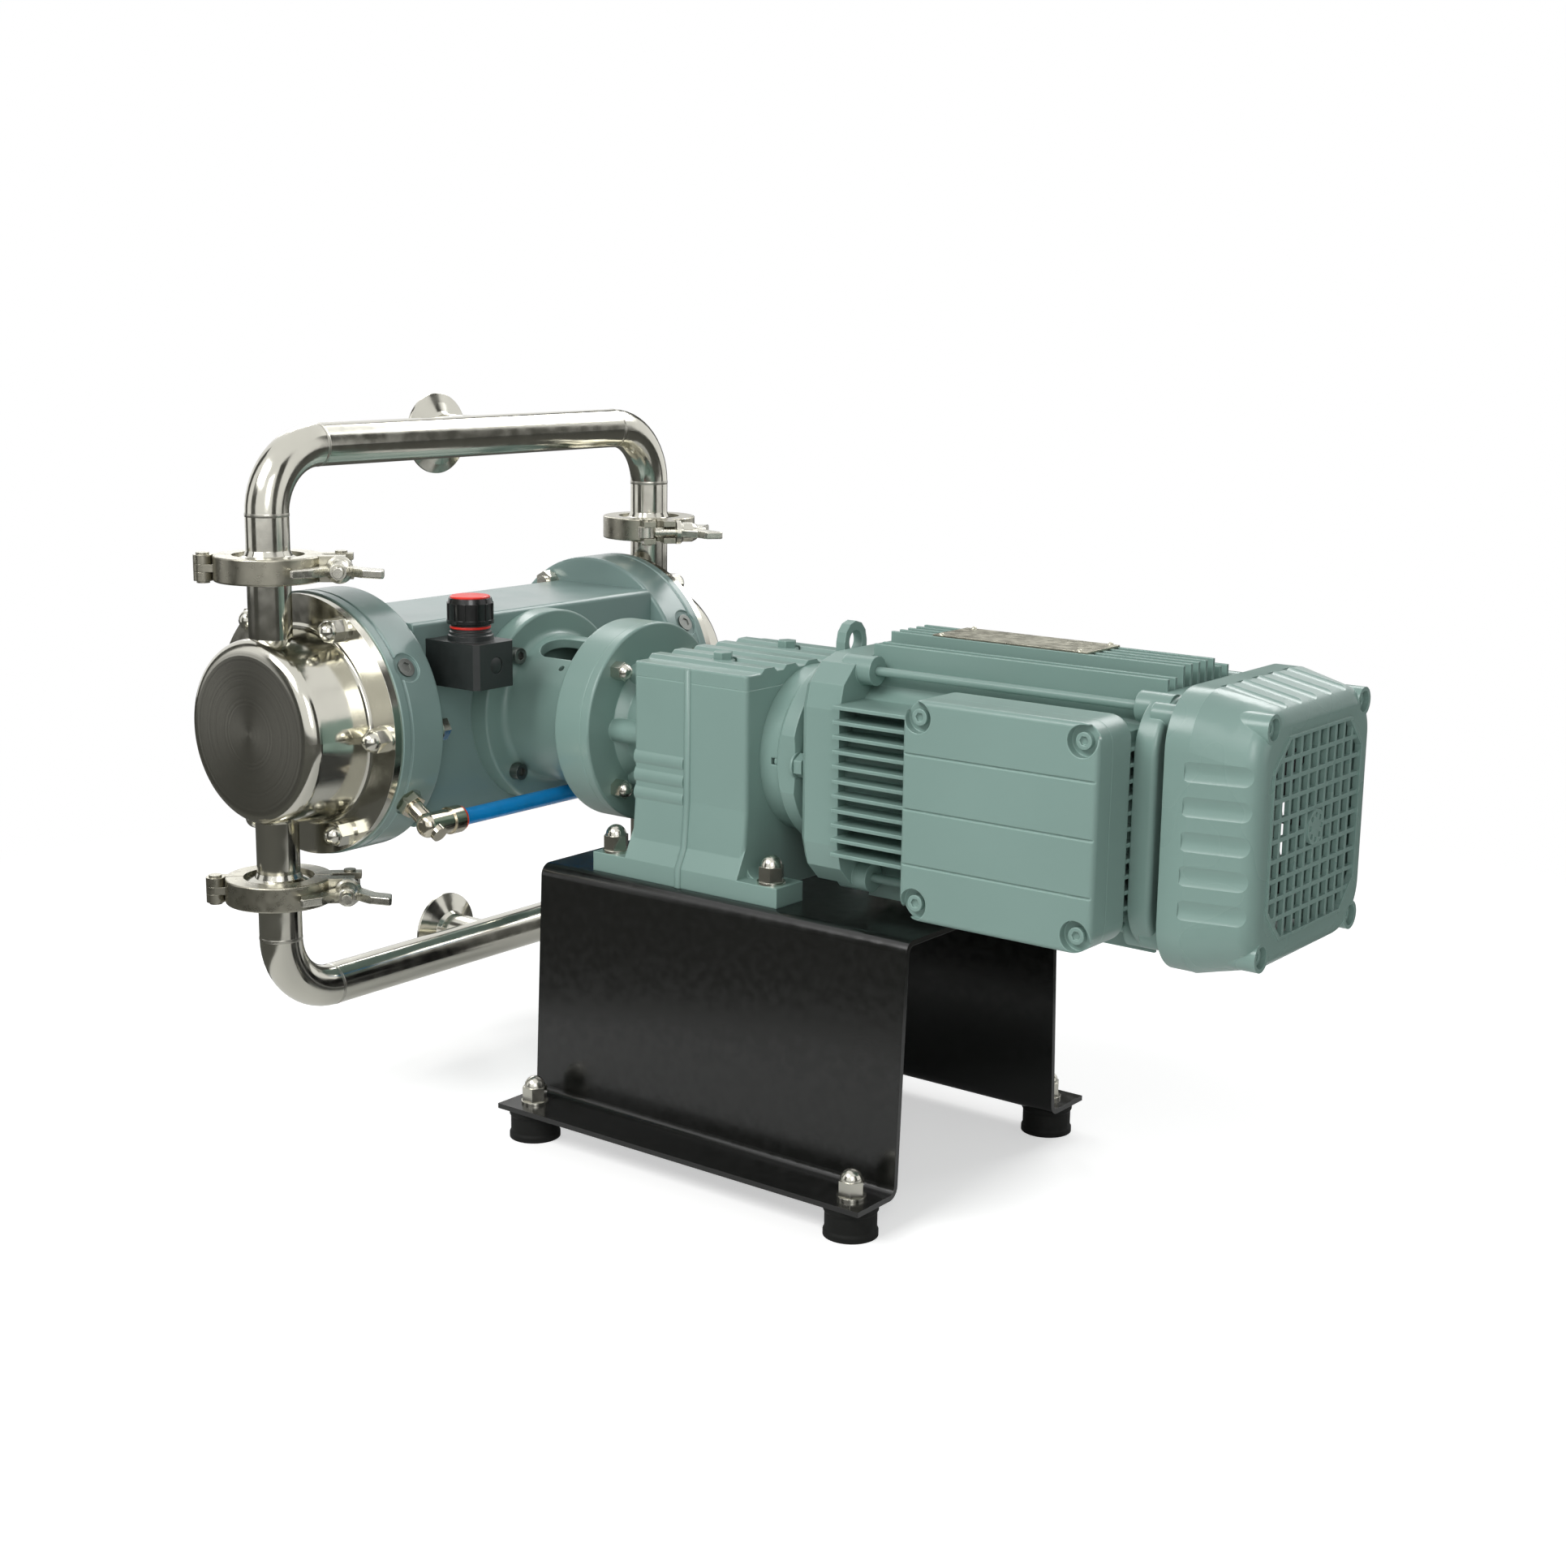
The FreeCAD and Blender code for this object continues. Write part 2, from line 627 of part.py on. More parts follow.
def case_ripples():
    """Three level ripples on each side of the case, between its output end and the parting rib."""
    depth = "case_half + ripple_rise - ripple_radius"
    ripples = []
    for side in (-1, 1):
        for i in range(3):
            at = ("case_back + 1", "%d*(%s)" % (side, depth), "stand_height + case_height*%g" % (0.42 + 0.09 * i))
            name = "ripple_%d%d" % (side + 1, i)
            ripples.append(rod(name, "ripple_radius", "case_length/2 - 5", at, "x"))
    return ripples


def foot_pads():
    """Four pads that stand out at the ends of the case, each with a cove against the end wall."""
    pads = []
    for i in (-1, 1):
        start = "foot_middle - gear_foot_length/2" if i < 0 else "case_front - 1"
        end = "case_back + 1" if i < 0 else "foot_middle + gear_foot_length/2"
        corner = "case_back - foot_cove" if i < 0 else "case_front"
        for k in (-1, 1):
            name = "foot_pad_%d%d" % (i + 1, k + 1)
            inner_y = "gear_foot_half - gear_foot_width" if k > 0 else "-gear_foot_half"
            size = ("%s - (%s)" % (end, start), "gear_foot_width", "gear_foot_thick")
            pads.append(box(name, size, (start, inner_y, "stand_height")))
            cove_y = "case_half - gear_foot_width + 6" if k > 0 else "-case_half + 2"
            level = "stand_height + gear_foot_thick"
            cove_size = ("foot_cove", "gear_foot_width - 8", "foot_cove")
            block = box(name + "_cove_block", cove_size, (corner, cove_y, level))
            middle = "case_back - foot_cove" if i < 0 else "case_front + foot_cove"
            round_at = (middle, cove_y + " - 1", level + " + foot_cove")
            hollow = rod(name + "_cove_round", "foot_cove", "gear_foot_width", round_at, "y")
            pads.append(cut(name + "_cove", block, [hollow]))
    return pads


def output_neck():
    """Output flange and neck, with six bulges between the flange and the case."""
    deep = "case_back - gear_flange_front + case_wall - 1"
    profile = [
        (0, 0), ("lantern_flange_radius", 0), ("lantern_flange_radius", "gear_flange_thick"),
        ("neck_radius + 5", "gear_flange_thick"), ("neck_radius", "gear_flange_thick + 6"), ("neck_radius", deep),
        (0, deep),
    ]
    neck = turned("output_neck", profile, ("gear_flange_front", 0, "axis_height"), "x")
    soften(neck, neck.Tip, 1.5, lambda e: is_ring(e, "lantern_flange_radius", "gear_flange_thick"))
    bulges = []
    for i in range(6):
        y, z = around("neck_radius + 2", 60 * i)
        length = "case_back - gear_flange_back + 2"
        bulges.append(rod("neck_bulge_%d" % i, 7, length, ("gear_flange_back - 1", y, z), "x"))
    return [neck] + bulges


def case_bores():
    """Seats of the shaft seal and bearings, the motor opening and the screw holes."""
    front, neck_end = "gear_flange_front", "case_back + case_wall"
    level, low = "axis_height", "middle_shaft_height"
    bearing_length = neck_end + " - gear_flange_front - 9 + 1"
    neck_length = neck_end + " - gear_flange_front + 3"
    bores = [
        rod("seal_bore", "output_shaft_radius + 7", 8, (front + " - 1", 0, level), "x"),
        rod("neck_bearing_bore", "output_shaft_radius + 11", bearing_length, (front + " + 9", 0, level), "x"),
        rod("neck_bore", "output_shaft_radius + 2", neck_length, (front + " - 1", 0, level), "x"),
        rod("web_bore", "output_shaft_radius + 5", 10, ("web_start + 1", 0, level), "x"),
        rod("web_through", "output_shaft_radius + 2", 4, ("web_start - 1", 0, level), "x"),
        rod("web_passage", "middle_shaft_radius + 4", 12, ("web_start - 1", 0, low), "x"),
        rod("middle_front_bore", "middle_shaft_radius + 6", 11, (neck_end, 0, low), "x"),
        rod("middle_rear_bore", "middle_shaft_radius + 6", 11, ("case_front - case_wall - 7", 0, low), "x"),
        rod("motor_opening", "motor_spigot + 0.3", "case_wall + 4", ("case_front - case_wall - 2", 0, level), "x"),
    ]
    foot_depth, flange_depth = "gear_foot_thick + 2", "gear_flange_thick + 2"
    for i, (x, y) in enumerate(gear_foot_points()):
        bores.append(rod("foot_hole_%d" % i, "m8_radius + hole_gap", foot_depth, (x, y, "stand_height - 1")))
    for i, (y, z) in enumerate(gear_screw_points()):
        bores.append(rod("flange_hole_%d" % i, "m6_radius + hole_gap", flange_depth, (front + " - 1", y, z), "x"))
    return bores


def gear_case():
    """The foot and flange casting: flared box, foot pads, output neck and flange, bearing seats."""
    body = new_body("case_block", ("case_back", 0, "stand_height"))
    flare = [
        ("case_half", "case_height"), ("case_half", "case_height*0.42"), ("case_half + 2.5", "gear_foot_thick*2"),
        ("gear_foot_half", "gear_foot_thick"), ("gear_foot_half", 0),
    ]
    profile = flare + [("-(%s)" % x, z) for x, z in reversed(flare)]
    block = pad(body, outline(body, "YZ", [profile]), "case_length")
    soften(body, block, 3, lambda e: along(e, "z") and e.Length > 20)
    inside = box(
        "case_inside",
        ("case_length - 2*case_wall", "2*(case_half - case_wall)", "case_height"),
        ("case_back + case_wall", "-(case_half - case_wall)", "stand_height + gear_foot_thick"),
    )
    shell = cut("case_shell", fuse("case_outside", [body] + case_ripples()), [inside])
    boss_radius = "middle_shaft_radius + 10"
    rear_start = "case_front - case_wall - 6"
    pieces = [
        shell,
        rod("middle_boss", boss_radius, "case_wall + 10", ("case_back", 0, "middle_shaft_height"), "x"),
        rod("middle_rear_boss", boss_radius, "case_wall + 6", (rear_start, 0, "middle_shaft_height"), "x"),
        box(
            "case_web",
            (9, "2*case_half - case_wall", "case_height*0.8"),
            ("web_start", "-(case_half - case_wall/2)", "stand_height + 2"),
        ),
    ]
    rib_size = (3, 1.2, "case_height - gear_foot_thick")
    for k in (-1, 1):
        rib_at = ("case_middle - 2.5", "%d*(case_half + 0.4) - 0.6" % k, "stand_height + gear_foot_thick")
        pieces.append(box("parting_rib_%d" % (k + 1), rib_size, rib_at))
    cut("gear_case", fuse("case_solid", pieces + foot_pads() + output_neck()), case_bores())


def gear_cover():
    """The top cover with its long ribs."""
    body = new_body("gear_cover", ("case_back", 0, "case_top"))
    low, high = "cover_thick", "cover_thick + 2.5"
    profile = [("-case_half", 0), ("-case_half", low)]
    for rib in (-40, -20, 0, 20, 40):
        profile += [("%d - 7" % rib, low), ("%d - 4" % rib, high), ("%d + 4" % rib, high), ("%d + 7" % rib, low)]
    profile += [("case_half", low), ("case_half", 0)]
    top = pad(body, outline(body, "YZ", [profile]), "case_length")
    rounded = soften(body, top, 3, lambda e: along(e, "z") and e.Length > 5)
    soften(body, rounded, 1.2, lambda e: along(e, "x") and e.BoundBox.ZMin > num(low) - 0.01)
    holes = [("case_length/2", "%d*case_half/2" % k, "m6_radius - 0.3") for k in (-1, 1)]
    drilled = outline(body, "XY", holes, "cover_thick + 3")
    pocket(body, drilled, "cover_thick + 2")
    seats = [("case_length/2", "%d*case_half/2" % k, 8) for k in (-1, 1)]
    pocket(body, outline(body, "XY", seats, "cover_thick + 3"), 3)


def gear_outline(teeth, phase):
    """A spur wheel's outline as a closed wire, straight flanks through root, pitch circle and tip."""
    module = num("tooth_module")
    pitch = teeth * module / 2
    base = pitch * math.cos(math.radians(25))
    root, tip = pitch - num("tooth_root") * module, pitch + num("tooth_tip") * module

    def involute(radius):
        if radius <= base:
            return 0.0
        angle = math.acos(base / radius)
        return math.tan(angle) - angle

    half_tooth = math.pi / 2 / teeth - num("backlash") / 2 / pitch
    points = []
    for tooth in range(teeth):
        middle = phase + 2 * math.pi * tooth / teeth
        flank = []
        for radius in (root, pitch - 0.35 * module, pitch + 0.3 * module, tip):
            half = half_tooth + involute(pitch) - involute(radius)
            flank.append((radius, half))
        for radius, half in flank:
            points.append((radius, middle - half))
        for radius, half in reversed(flank):
            points.append((radius, middle + half))
    corners = [Vector(0, r * math.cos(a), r * math.sin(a)) for r, a in points]
    return Part.makePolygon(corners + [corners[0]])


def wheel(teeth, width, start, height, phase=0.0, bore=None):
    """A spur wheel as a solid about an axis parallel to X."""
    blank = Part.Face(gear_outline(teeth, phase)).extrude(Vector(num(width), 0, 0))
    if bore is not None:
        blank = blank.cut(Part.makeCylinder(num(bore), num(width) + 2, Vector(-1, 0, 0), Vector(1, 0, 0)))
    blank.translate(Vector(num(start), 0, num(height)))
    return blank


def teeth_of(name):
    return int(round(num(name)))


def gear_train():
    """The output wheel, and the intermediate shaft with its wheel, at equal centre distances."""
    second = "case_back + case_wall + 14"
    # A pinion tooth meets a gap of its wheel on the line between the two shafts.
    output_count, first_count = teeth_of("output_teeth"), teeth_of("first_wheel_teeth")
    output_phase = -math.pi / 2 + math.pi / output_count
    first_phase = math.pi / 2 + math.pi / first_count
    low, width = "middle_shaft_height", "wheel_width"
    output_bore, middle_bore = "output_shaft_radius + fit", "middle_shaft_radius + fit"
    shaped("output_wheel", wheel(output_count, width, second + " + 2", "axis_height", output_phase, output_bore))
    shaped("intermediate_wheel", wheel(first_count, width, "first_wheel_start", low, first_phase, middle_bore))
    pinion = wheel(teeth_of("second_pinion_teeth"), "wheel_width + pinion_extra", second, low, math.pi / 2)
    start = "case_back + case_wall + 0.5"
    shank = Part.makeCylinder(
        num("middle_shaft_radius"), num("case_length - case_wall - 2.5"),
        Vector(num(start), 0, num("middle_shaft_height")), Vector(1, 0, 0))
    shaped("intermediate_shaft", pinion.fuse(shank).removeSplitter())


def output_shaft():
    """Stepped output shaft, from the coupling to the bearing in the case's inner web."""
    radius, step = "output_shaft_radius", "output_shaft_radius - 2"
    start = "gear_flange_front - 38"
    length = "web_start + 8.5 - (%s)" % start
    seat = length + " - 11"
    profile = [(0, 0), (radius, 0), (radius, seat), (step, seat), (step, length), (0, length)]
    turned("output_shaft", profile, (start, 0, "axis_height"), "x")


def bearings():
    """Ball bearings as closed rings, each with a running fit on its shaft and in its seat."""
    output, journal = "output_shaft_radius", "output_shaft_radius - 2"
    middle, motor = "middle_shaft_radius", "rotor_shaft_radius"
    level, low = "axis_height", "middle_shaft_height"
    seats = [
        ("lantern_bearing", output, "output_shaft_radius + 10", 10, "block_front + 2", level),
        ("rear_eccentric_bearing", journal, "output_shaft_radius + 5", 7, "block_back + 3", level),
        ("neck_bearing", output, "output_shaft_radius + 11", 12, "gear_flange_front + 9", level),
        ("web_bearing", journal, "output_shaft_radius + 5", 8, "web_start + 1", level),
        ("middle_front_bearing", middle, "middle_shaft_radius + 6", 8, "case_back + case_wall", low),
        ("middle_rear_bearing", middle, "middle_shaft_radius + 6", 8, "case_front - 9", low),
        ("motor_front_bearing", motor, "rotor_shaft_radius + 11.5", 12, "shield_start + 8", level),
        ("motor_rear_bearing", motor, "rotor_shaft_radius + 11.5", 11, "rear_shield_start + 4", level),
    ]
    rings = []
    for name, shaft, seat, width, start, height in seats:
        rings.append(ring(name, shaft + " + fit", seat + " - fit", width, (start, 0, height), "x"))
    group("bearings", rings)


def lifting_eye():
    """An upright plate with a round top and a hole, seen along X."""
    eye = new_body("lifting_lug", ("case_front + eye_start", 0, "axis_height"))
    foot = "adapter_radius - 4"
    plate = [("-eye_half", foot), ("eye_half", foot)]
    for degrees in range(0, 181, 30):
        plate.append(("eye_half*cos(%d)" % degrees, "eye_height + (eye_half + 1)*sin(%d)" % degrees))
    pad(eye, outline(eye, "YZ", [plate, (0, "eye_height", "eye_hole")]), "eye_thick")
    return eye


def adapter_webs():
    """Four webs behind the adapter ring, from its rim towards the front end shield."""
    webs = []
    for i in range(4):
        degrees = 45 + 90 * i
        size = ("adapter_length - 26", 5, "adapter_ring_radius - 8")
        spot = ("case_front + 24", "-2.5*cos(%d)" % degrees, "axis_height - 2.5*sin(%d)" % degrees)
        web = box("adapter_web_%d" % i, size, spot)
        webs.append(place(web, spot, Rotation(Vector(1, 0, 0), degrees)))
    return webs


def motor_adapter():
    """The cast adapter between gear case and motor, with its flatted clamping ring and the lifting eye."""
    bore, boss, rim, hub = "adapter_bore", "adapter_radius", "adapter_ring_radius", "adapter_radius - 16"
    profile = [
        (bore, -3), ("motor_spigot", -3), ("motor_spigot", 0), (boss, 0), (boss, "adapter_ring_start - 4.75"),
        (rim, "adapter_ring_start"), (rim, "adapter_ring_end"), (rim + " - 6", "adapter_ring_end + 1.75"),
        (hub, "adapter_ring_end + 3.25"), (hub, "adapter_length"), (bore, "adapter_length"),
    ]
    body = turned("adapter_turned", profile, ("case_front", 0, "axis_height"), "x")
    flat_size = ("adapter_length + 10", "2*adapter_flat", "2*adapter_ring_radius + 4")
    flat_at = ("case_front - 5", "-adapter_flat", "axis_height - adapter_ring_radius - 2")
    flatted = common("adapter_flatted", body, box("adapter_flats", flat_size, flat_at))
    solid = fuse("adapter_solid", [flatted, lifting_eye()] + adapter_webs())
    holes = [rod("adapter_shaft_bore", bore, "adapter_length + 8", ("case_front - 5", 0, "axis_height"), "x")]
    for i, degrees in enumerate(ADAPTER_ANGLES):
        y, z = around("adapter_nut_circle", degrees)
        holes.append(rod("adapter_hole_%d" % i, "m6_radius + fit", 30, ("case_front + 8", y, z), "x"))
        holes.append(rod("adapter_seat_%d" % i, "m6_hex + 1.8", 8, ("case_front + adapter_ring_end", y, z), "x"))
    cut("motor_adapter", solid, holes)


def rounded_square(name, half, corner, length, at, front_round=None, rear_round=None):
    """A rounded square bar along X, its end edges rounded where a radius is given."""
    body = new_body(name, at)
    low = "-(%s)" % half
    bar = pad(body, outline(body, "YZ", [[(low, low), (half, low), (half, half), (low, half)]]), length)
    bar = soften(body, bar, corner, lambda e: along(e, "x"))
    if front_round:
        bar = soften(body, bar, front_round, lambda e: e.BoundBox.XMax < 0.01)
    if rear_round:
        soften(body, bar, rear_round, lambda e: e.BoundBox.XMin > num(length) - 0.01)
    return body


def panel(name, length, height, corner, depth, at, front_round=None):
    """A block with rounded corners that stands out from a plane towards -Y."""
    body = new_body(name, at)
    block = pad(body, outline(body, "XZ", [[(0, 0), (length, 0), (length, height), (0, height)]]), depth)
    block = soften(body, block, corner, lambda e: along(e, "y"))
    if front_round:
        soften(body, block, front_round, lambda e: e.BoundBox.YMax < 0.01 - num(depth))
    return body


SQUARE = ((1, 1), (-1, 1), (-1, -1), (1, -1))


def tie_points():
    return [("%d*tie_half_y" % i, "axis_height + %d*tie_half_z" % k) for i in (-1, 1) for k in (-1, 1)]


def guard_points():
    return [("%d*guard_screw_y" % i, "axis_height + %d*guard_screw_z" % k) for i in (-1, 1) for k in (-1, 1)]


def front_endshield():
    """Front end shield: a faceted square bell with the seat of the front motor bearing."""
    axis = (0, "axis_height")
    bell = faceted_square("front_bell", "shield_half", "shield_corner", "shield_length", ("shield_start",) + axis)
    lugs = tie_lugs("front_lug", "stator_start - 10", "10 + tie_lug_reach")
    seat = "rotor_shaft_radius + 11.5"
    tools = [
        rod("front_shaft_hole", "adapter_bore", 12, ("shield_start - 1",) + axis, "x"),
        rod("front_bearing_bore", seat, "shield_length", ("shield_start + 8",) + axis, "x"),
        rod("front_winding_room", "stator_radius - 8", 9, ("stator_start - 8",) + axis, "x"),
    ]
    for i, (y, z) in enumerate(tie_points()):
        tools.append(rod("front_tie_hole_%d" % i, "tie_radius + fit", 30, ("stator_start - 12", y, z), "x"))
    cut("front_endshield", fuse("front_shield_solid", [bell] + lugs), tools)


def faceted_square(name, half, corner, length, at):
    """A square bar along X whose corners are cut in three facets, with a chamfer round its front end."""
    body = new_body(name, at)
    points = []
    for quarter, (away_y, away_z) in enumerate(SQUARE):
        for step in range(4):
            degrees = 90 * quarter + 30 * step
            y = "%d*(%s - %s) + (%s)*cos(%d)" % (away_y, half, corner, corner, degrees)
            z = "%d*(%s - %s) + (%s)*sin(%d)" % (away_z, half, corner, corner, degrees)
            points.append((y, z))
    bar = pad(body, outline(body, "YZ", [points]), length)
    soften(body, bar, 6, lambda e: e.BoundBox.XMax < 0.01, "Chamfer")
    return body


def tie_lugs(name, start, length):
    """Lugs of an end shield that reach over the stator housing round the tie rods."""
    lugs = []
    for i, (y, z) in enumerate(tie_points()):
        lugs.append(rod("%s_%d" % (name, i), "tie_lug_radius", length, (start, y, z), "x"))
    return lugs


def rear_endshield():
    """Rear end shield with its bearing seat, lugs round the tie rods and four posts for the fan guard."""
    axis = (0, "axis_height")
    start, length = "rear_shield_start", "rear_shield_length"
    bell_length = length + " - 8"
    bell = rounded_square("rear_bell", "shield_half", "shield_corner", bell_length, (start,) + axis, rear_round=3)
    collar = turned("rear_collar", [(0, 0), (50, 0), (46, length), (0, length)], (start,) + axis, "x")
    posts = tie_lugs("rear_lug", start + " - tie_lug_reach", "tie_lug_reach + 10")
    tools = [
        rod("rear_shaft_hole", 11, 30, (start + " - 1",) + axis, "x"),
        rod("rear_bearing_bore", "rotor_shaft_radius + 11.5", 16, (start + " - 1",) + axis, "x"),
        rod("rear_winding_room", "stator_radius - 14", 4, (start + " - 1",) + axis, "x"),
    ]
    tie_hole = "tie_lug_reach + rear_shield_length"
    for i, (y, z) in enumerate(tie_points()):
        hole_at = (start + " - tie_lug_reach - 1", y, z)
        tools.append(rod("rear_tie_hole_%d" % i, "tie_radius + fit", tie_hole, hole_at, "x"))
        tools.append(rod("tie_head_room_%d" % i, 5, 10, ("guard_start - 8", y, z), "x"))
    for i, (y, z) in enumerate(guard_points()):
        posts.append(rod("guard_post_%d" % i, 6, length + " - 4", (start + " + 4", y, z), "x"))
        tools.append(rod("guard_thread_%d" % i, "tie_radius + fit", 12, ("guard_start - 11", y, z), "x"))
    cut("rear_endshield", fuse("rear_shield_solid", [bell, collar] + posts), tools)


def stator_housing():
    """Finned barrel: long fins on four sides, the five in the middle of the top a little higher."""
    axis = (0, "axis_height")
    barrel = rod("stator_barrel", "stator_radius", "stator_length", ("stator_start",) + axis, "x")
    fins = []
    for i in range(-4, 5):
        top = "top_fin_reach" if abs(i) < 3 else "fin_reach"
        size = ("stator_length", "fin_thick", "fin_reach + " + top)
        at = ("stator_start", "%d*fin_pitch - fin_thick/2" % i, "axis_height - fin_reach")
        fins.append(box("upright_fin_%d" % (i + 4), size, at))
    level_size = ("stator_length", "2*fin_reach", "fin_thick")
    for i in range(-5, 6):
        at = ("stator_start", "-fin_reach", "axis_height + %d*fin_pitch - fin_thick/2" % i)
        fins.append(box("level_fin_%d" % (i + 5), level_size, at))
    pad_size = ("box_length - 12", "fin_reach - 40", "box_height - 20")
    seat = box("terminal_seat", pad_size, ("box_start + 5", "-fin_reach", "box_bottom + 10"))
    bore = rod("stator_bore", "stator_radius - 6", "stator_length + 2", ("stator_start - 1",) + axis, "x")
    cut("stator_housing", fuse("stator_solid", [barrel, seat] + fins), [bore])


def stator_winding():
    """Laminated core with the winding heads at both ends."""
    bore, core = "rotor_radius + air_gap", "stator_radius - 6 - fit"
    inner, outer = "rotor_radius + 4", "stator_radius - 11"
    half = "core_length/2"
    head = half + " + 17"
    upper = [(bore, half), (inner, half), (inner, head), (outer, head), (outer, half), (core, half)]
    profile = upper + [(radius, "-(%s)" % level) for radius, level in reversed(upper)]
    turned("stator_winding", profile, ("stator_start + stator_length/2", 0, "axis_height"), "x")


def rotor():
    """Motor shaft with the rotor core and the motor pinion cut on its end."""
    width, pinion_start = "wheel_width + pinion_extra", "first_wheel_start - pinion_extra/2"
    count = teeth_of("motor_pinion_teeth")
    teeth = shaped("motor_pinion", wheel(count, width, pinion_start, "axis_height", -math.pi / 2))
    start = "first_wheel_start + wheel_width + pinion_extra/2"
    radius, journal = "rotor_shaft_radius", 12
    front = "stator_start - 4 - (%s)" % start
    middle = "stator_start + stator_length/2 - (%s)" % start
    core_start, core_end = middle + " - core_length/2", middle + " + core_length/2"
    rear, end = "rear_shield_start - (%s)" % start, "guard_start + 26 - (%s)" % start
    profile = [
        (0, 0), (radius, 0), (radius, front), (journal, front), (journal, core_start), ("rotor_radius", core_start),
        ("rotor_radius", core_end), (journal, core_end), (journal, rear), (radius, rear), (radius, end), (0, end),
    ]
    shaft = turned("rotor_shaft", profile, (start, 0, "axis_height"), "x")
    fuse("rotor", [teeth, shaft])


def fan():
    """Fan hub with a backplate and seven straight blades."""
    start = ("guard_start + 5", 0, "axis_height")
    hub = turned("fan_hub", [(0, 0), (14, 0), (14, 18), (0, 18)], start, "x")
    plate = turned("fan_plate", [(0, 0), (46, 0), (46, 2.5), (0, 2.5)], start, "x")
    blades = []
    for i in range(7):
        blade = box("fan_blade_%d" % i, (20, 2.5, 34), (0, 0, 0))
        turn = Rotation(Vector(1, 0, 0), 360.0 / 7 * i)
        way = turn.multVec(Vector(0, -1.25, 13))
        blades.append(place(blade, ("guard_start + 5", "%g" % way.y, "axis_height + %g" % way.z), turn))
    bore = rod("fan_bore", "rotor_shaft_radius + fit", 30, ("guard_start", 0, "axis_height"), "x")
    cut("fan", fuse("fan_solid", [hub, plate] + blades), [bore])


def guard_form(name, inset, rear_inset):
    """The fan guard's form less an inset: a straight band, then sides that lean in to a rounded rear end."""
    axis = (0, "axis_height")
    half, corner = "guard_half - (%s)" % inset, "guard_corner - (%s)" % inset
    band = rounded_square(name + "_band", half, corner, "guard_band", ("guard_start",) + axis)
    body = new_body(name + "_lean", ("guard_start + guard_band",) + axis)
    low, length = "-(%s)" % half, "guard_length - guard_band - (%s)" % rear_inset
    bar = pad(body, outline(body, "YZ", [[(low, low), (half, low), (half, half), (low, half)]]), length)
    bar.setExpression("TaperAngle", bound("-guard_taper"))
    bar = soften(body, bar, corner, lambda e: e.BoundBox.XLength > 1)
    soften(body, bar, "guard_round - (%s)" % inset, lambda e: e.BoundBox.XMin > num(length) - 0.01)
    return fuse(name, [band, body])


def guard_flutes():
    """Five shallow flutes in each leaning side of the fan guard."""
    out = "guard_half + (flute_radius - flute_depth)/cos(guard_taper)"
    flutes = []
    for side, (away_y, away_z) in enumerate(((0, 1), (-1, 0), (0, -1), (1, 0))):
        lean = Rotation(Vector(1, 0, 0), 90 * side) * Rotation(Vector(0, 1, 0), 90 + num("guard_taper"))
        for i in range(-2, 3):
            y = "%d*flute_pitch*%d + %d*(%s)" % (i, away_z, away_y, out)
            z = "axis_height + %d*flute_pitch*%d + %d*(%s)" % (i, -away_y, away_z, out)
            name = "guard_flute_%d%d" % (side, i + 2)
            flutes.append(rod(name, "flute_radius", "guard_length", ("guard_start + guard_band", y, z), lean))
    return flutes


def eight_sided(half, corner):
    """Points of a square with cut corners."""
    near = "(%s) - (%s)" % (half, corner)
    points = []
    for away_y, away_z in SQUARE:
        steps = [(half, near), (near, half)] if away_y == away_z else [(near, half), (half, near)]
        points += [("%d*(%s)" % (away_y, y), "%d*(%s)" % (away_z, z)) for y, z in steps]
    return points


def guard_grille(window):
    """Square mesh within the guard's window, its raised lip and its pierced hub."""
    start, hub_at = "guard_end - guard_wall", ("guard_end - guard_wall", 0, "axis_height")
    upright = ("guard_wall", "grille_bar", "2*grille_half")
    level = ("guard_wall", "2*grille_half", "grille_bar")
    bars = []
    for i in range(1, int(num("grille_cells"))):
        spot = "%d*2*grille_half/grille_cells - grille_half - grille_bar/2" % i
        bars.append(box("grille_upright_%d" % i, upright, (start, spot, "axis_height - grille_half")))
        bars.append(box("grille_level_%d" % i, level, (start, "-grille_half", "axis_height + " + spot)))
    mesh = common("grille", fuse("grille_bars", bars), window)
    lip = new_body("grille_lip", ("guard_end - 1", 0, "axis_height"))
    loops = [eight_sided("grille_half + grille_lip", "grille_corner"), eight_sided("grille_half", "grille_corner")]
    pad(lip, outline(lip, "YZ", loops), 2)
    holes = []
    for i in range(8):
        y, z = around(6.2, 45 * i)
        holes.append(rod("grille_hub_hole_%d" % i, 1.5, 6, ("guard_end - guard_wall - 1", y, z), "x"))
    hub = cut("grille_hub", rod("grille_hub_disc", 9, "guard_wall + 1", hub_at, "x"), holes)
    return [mesh, lip, hub]


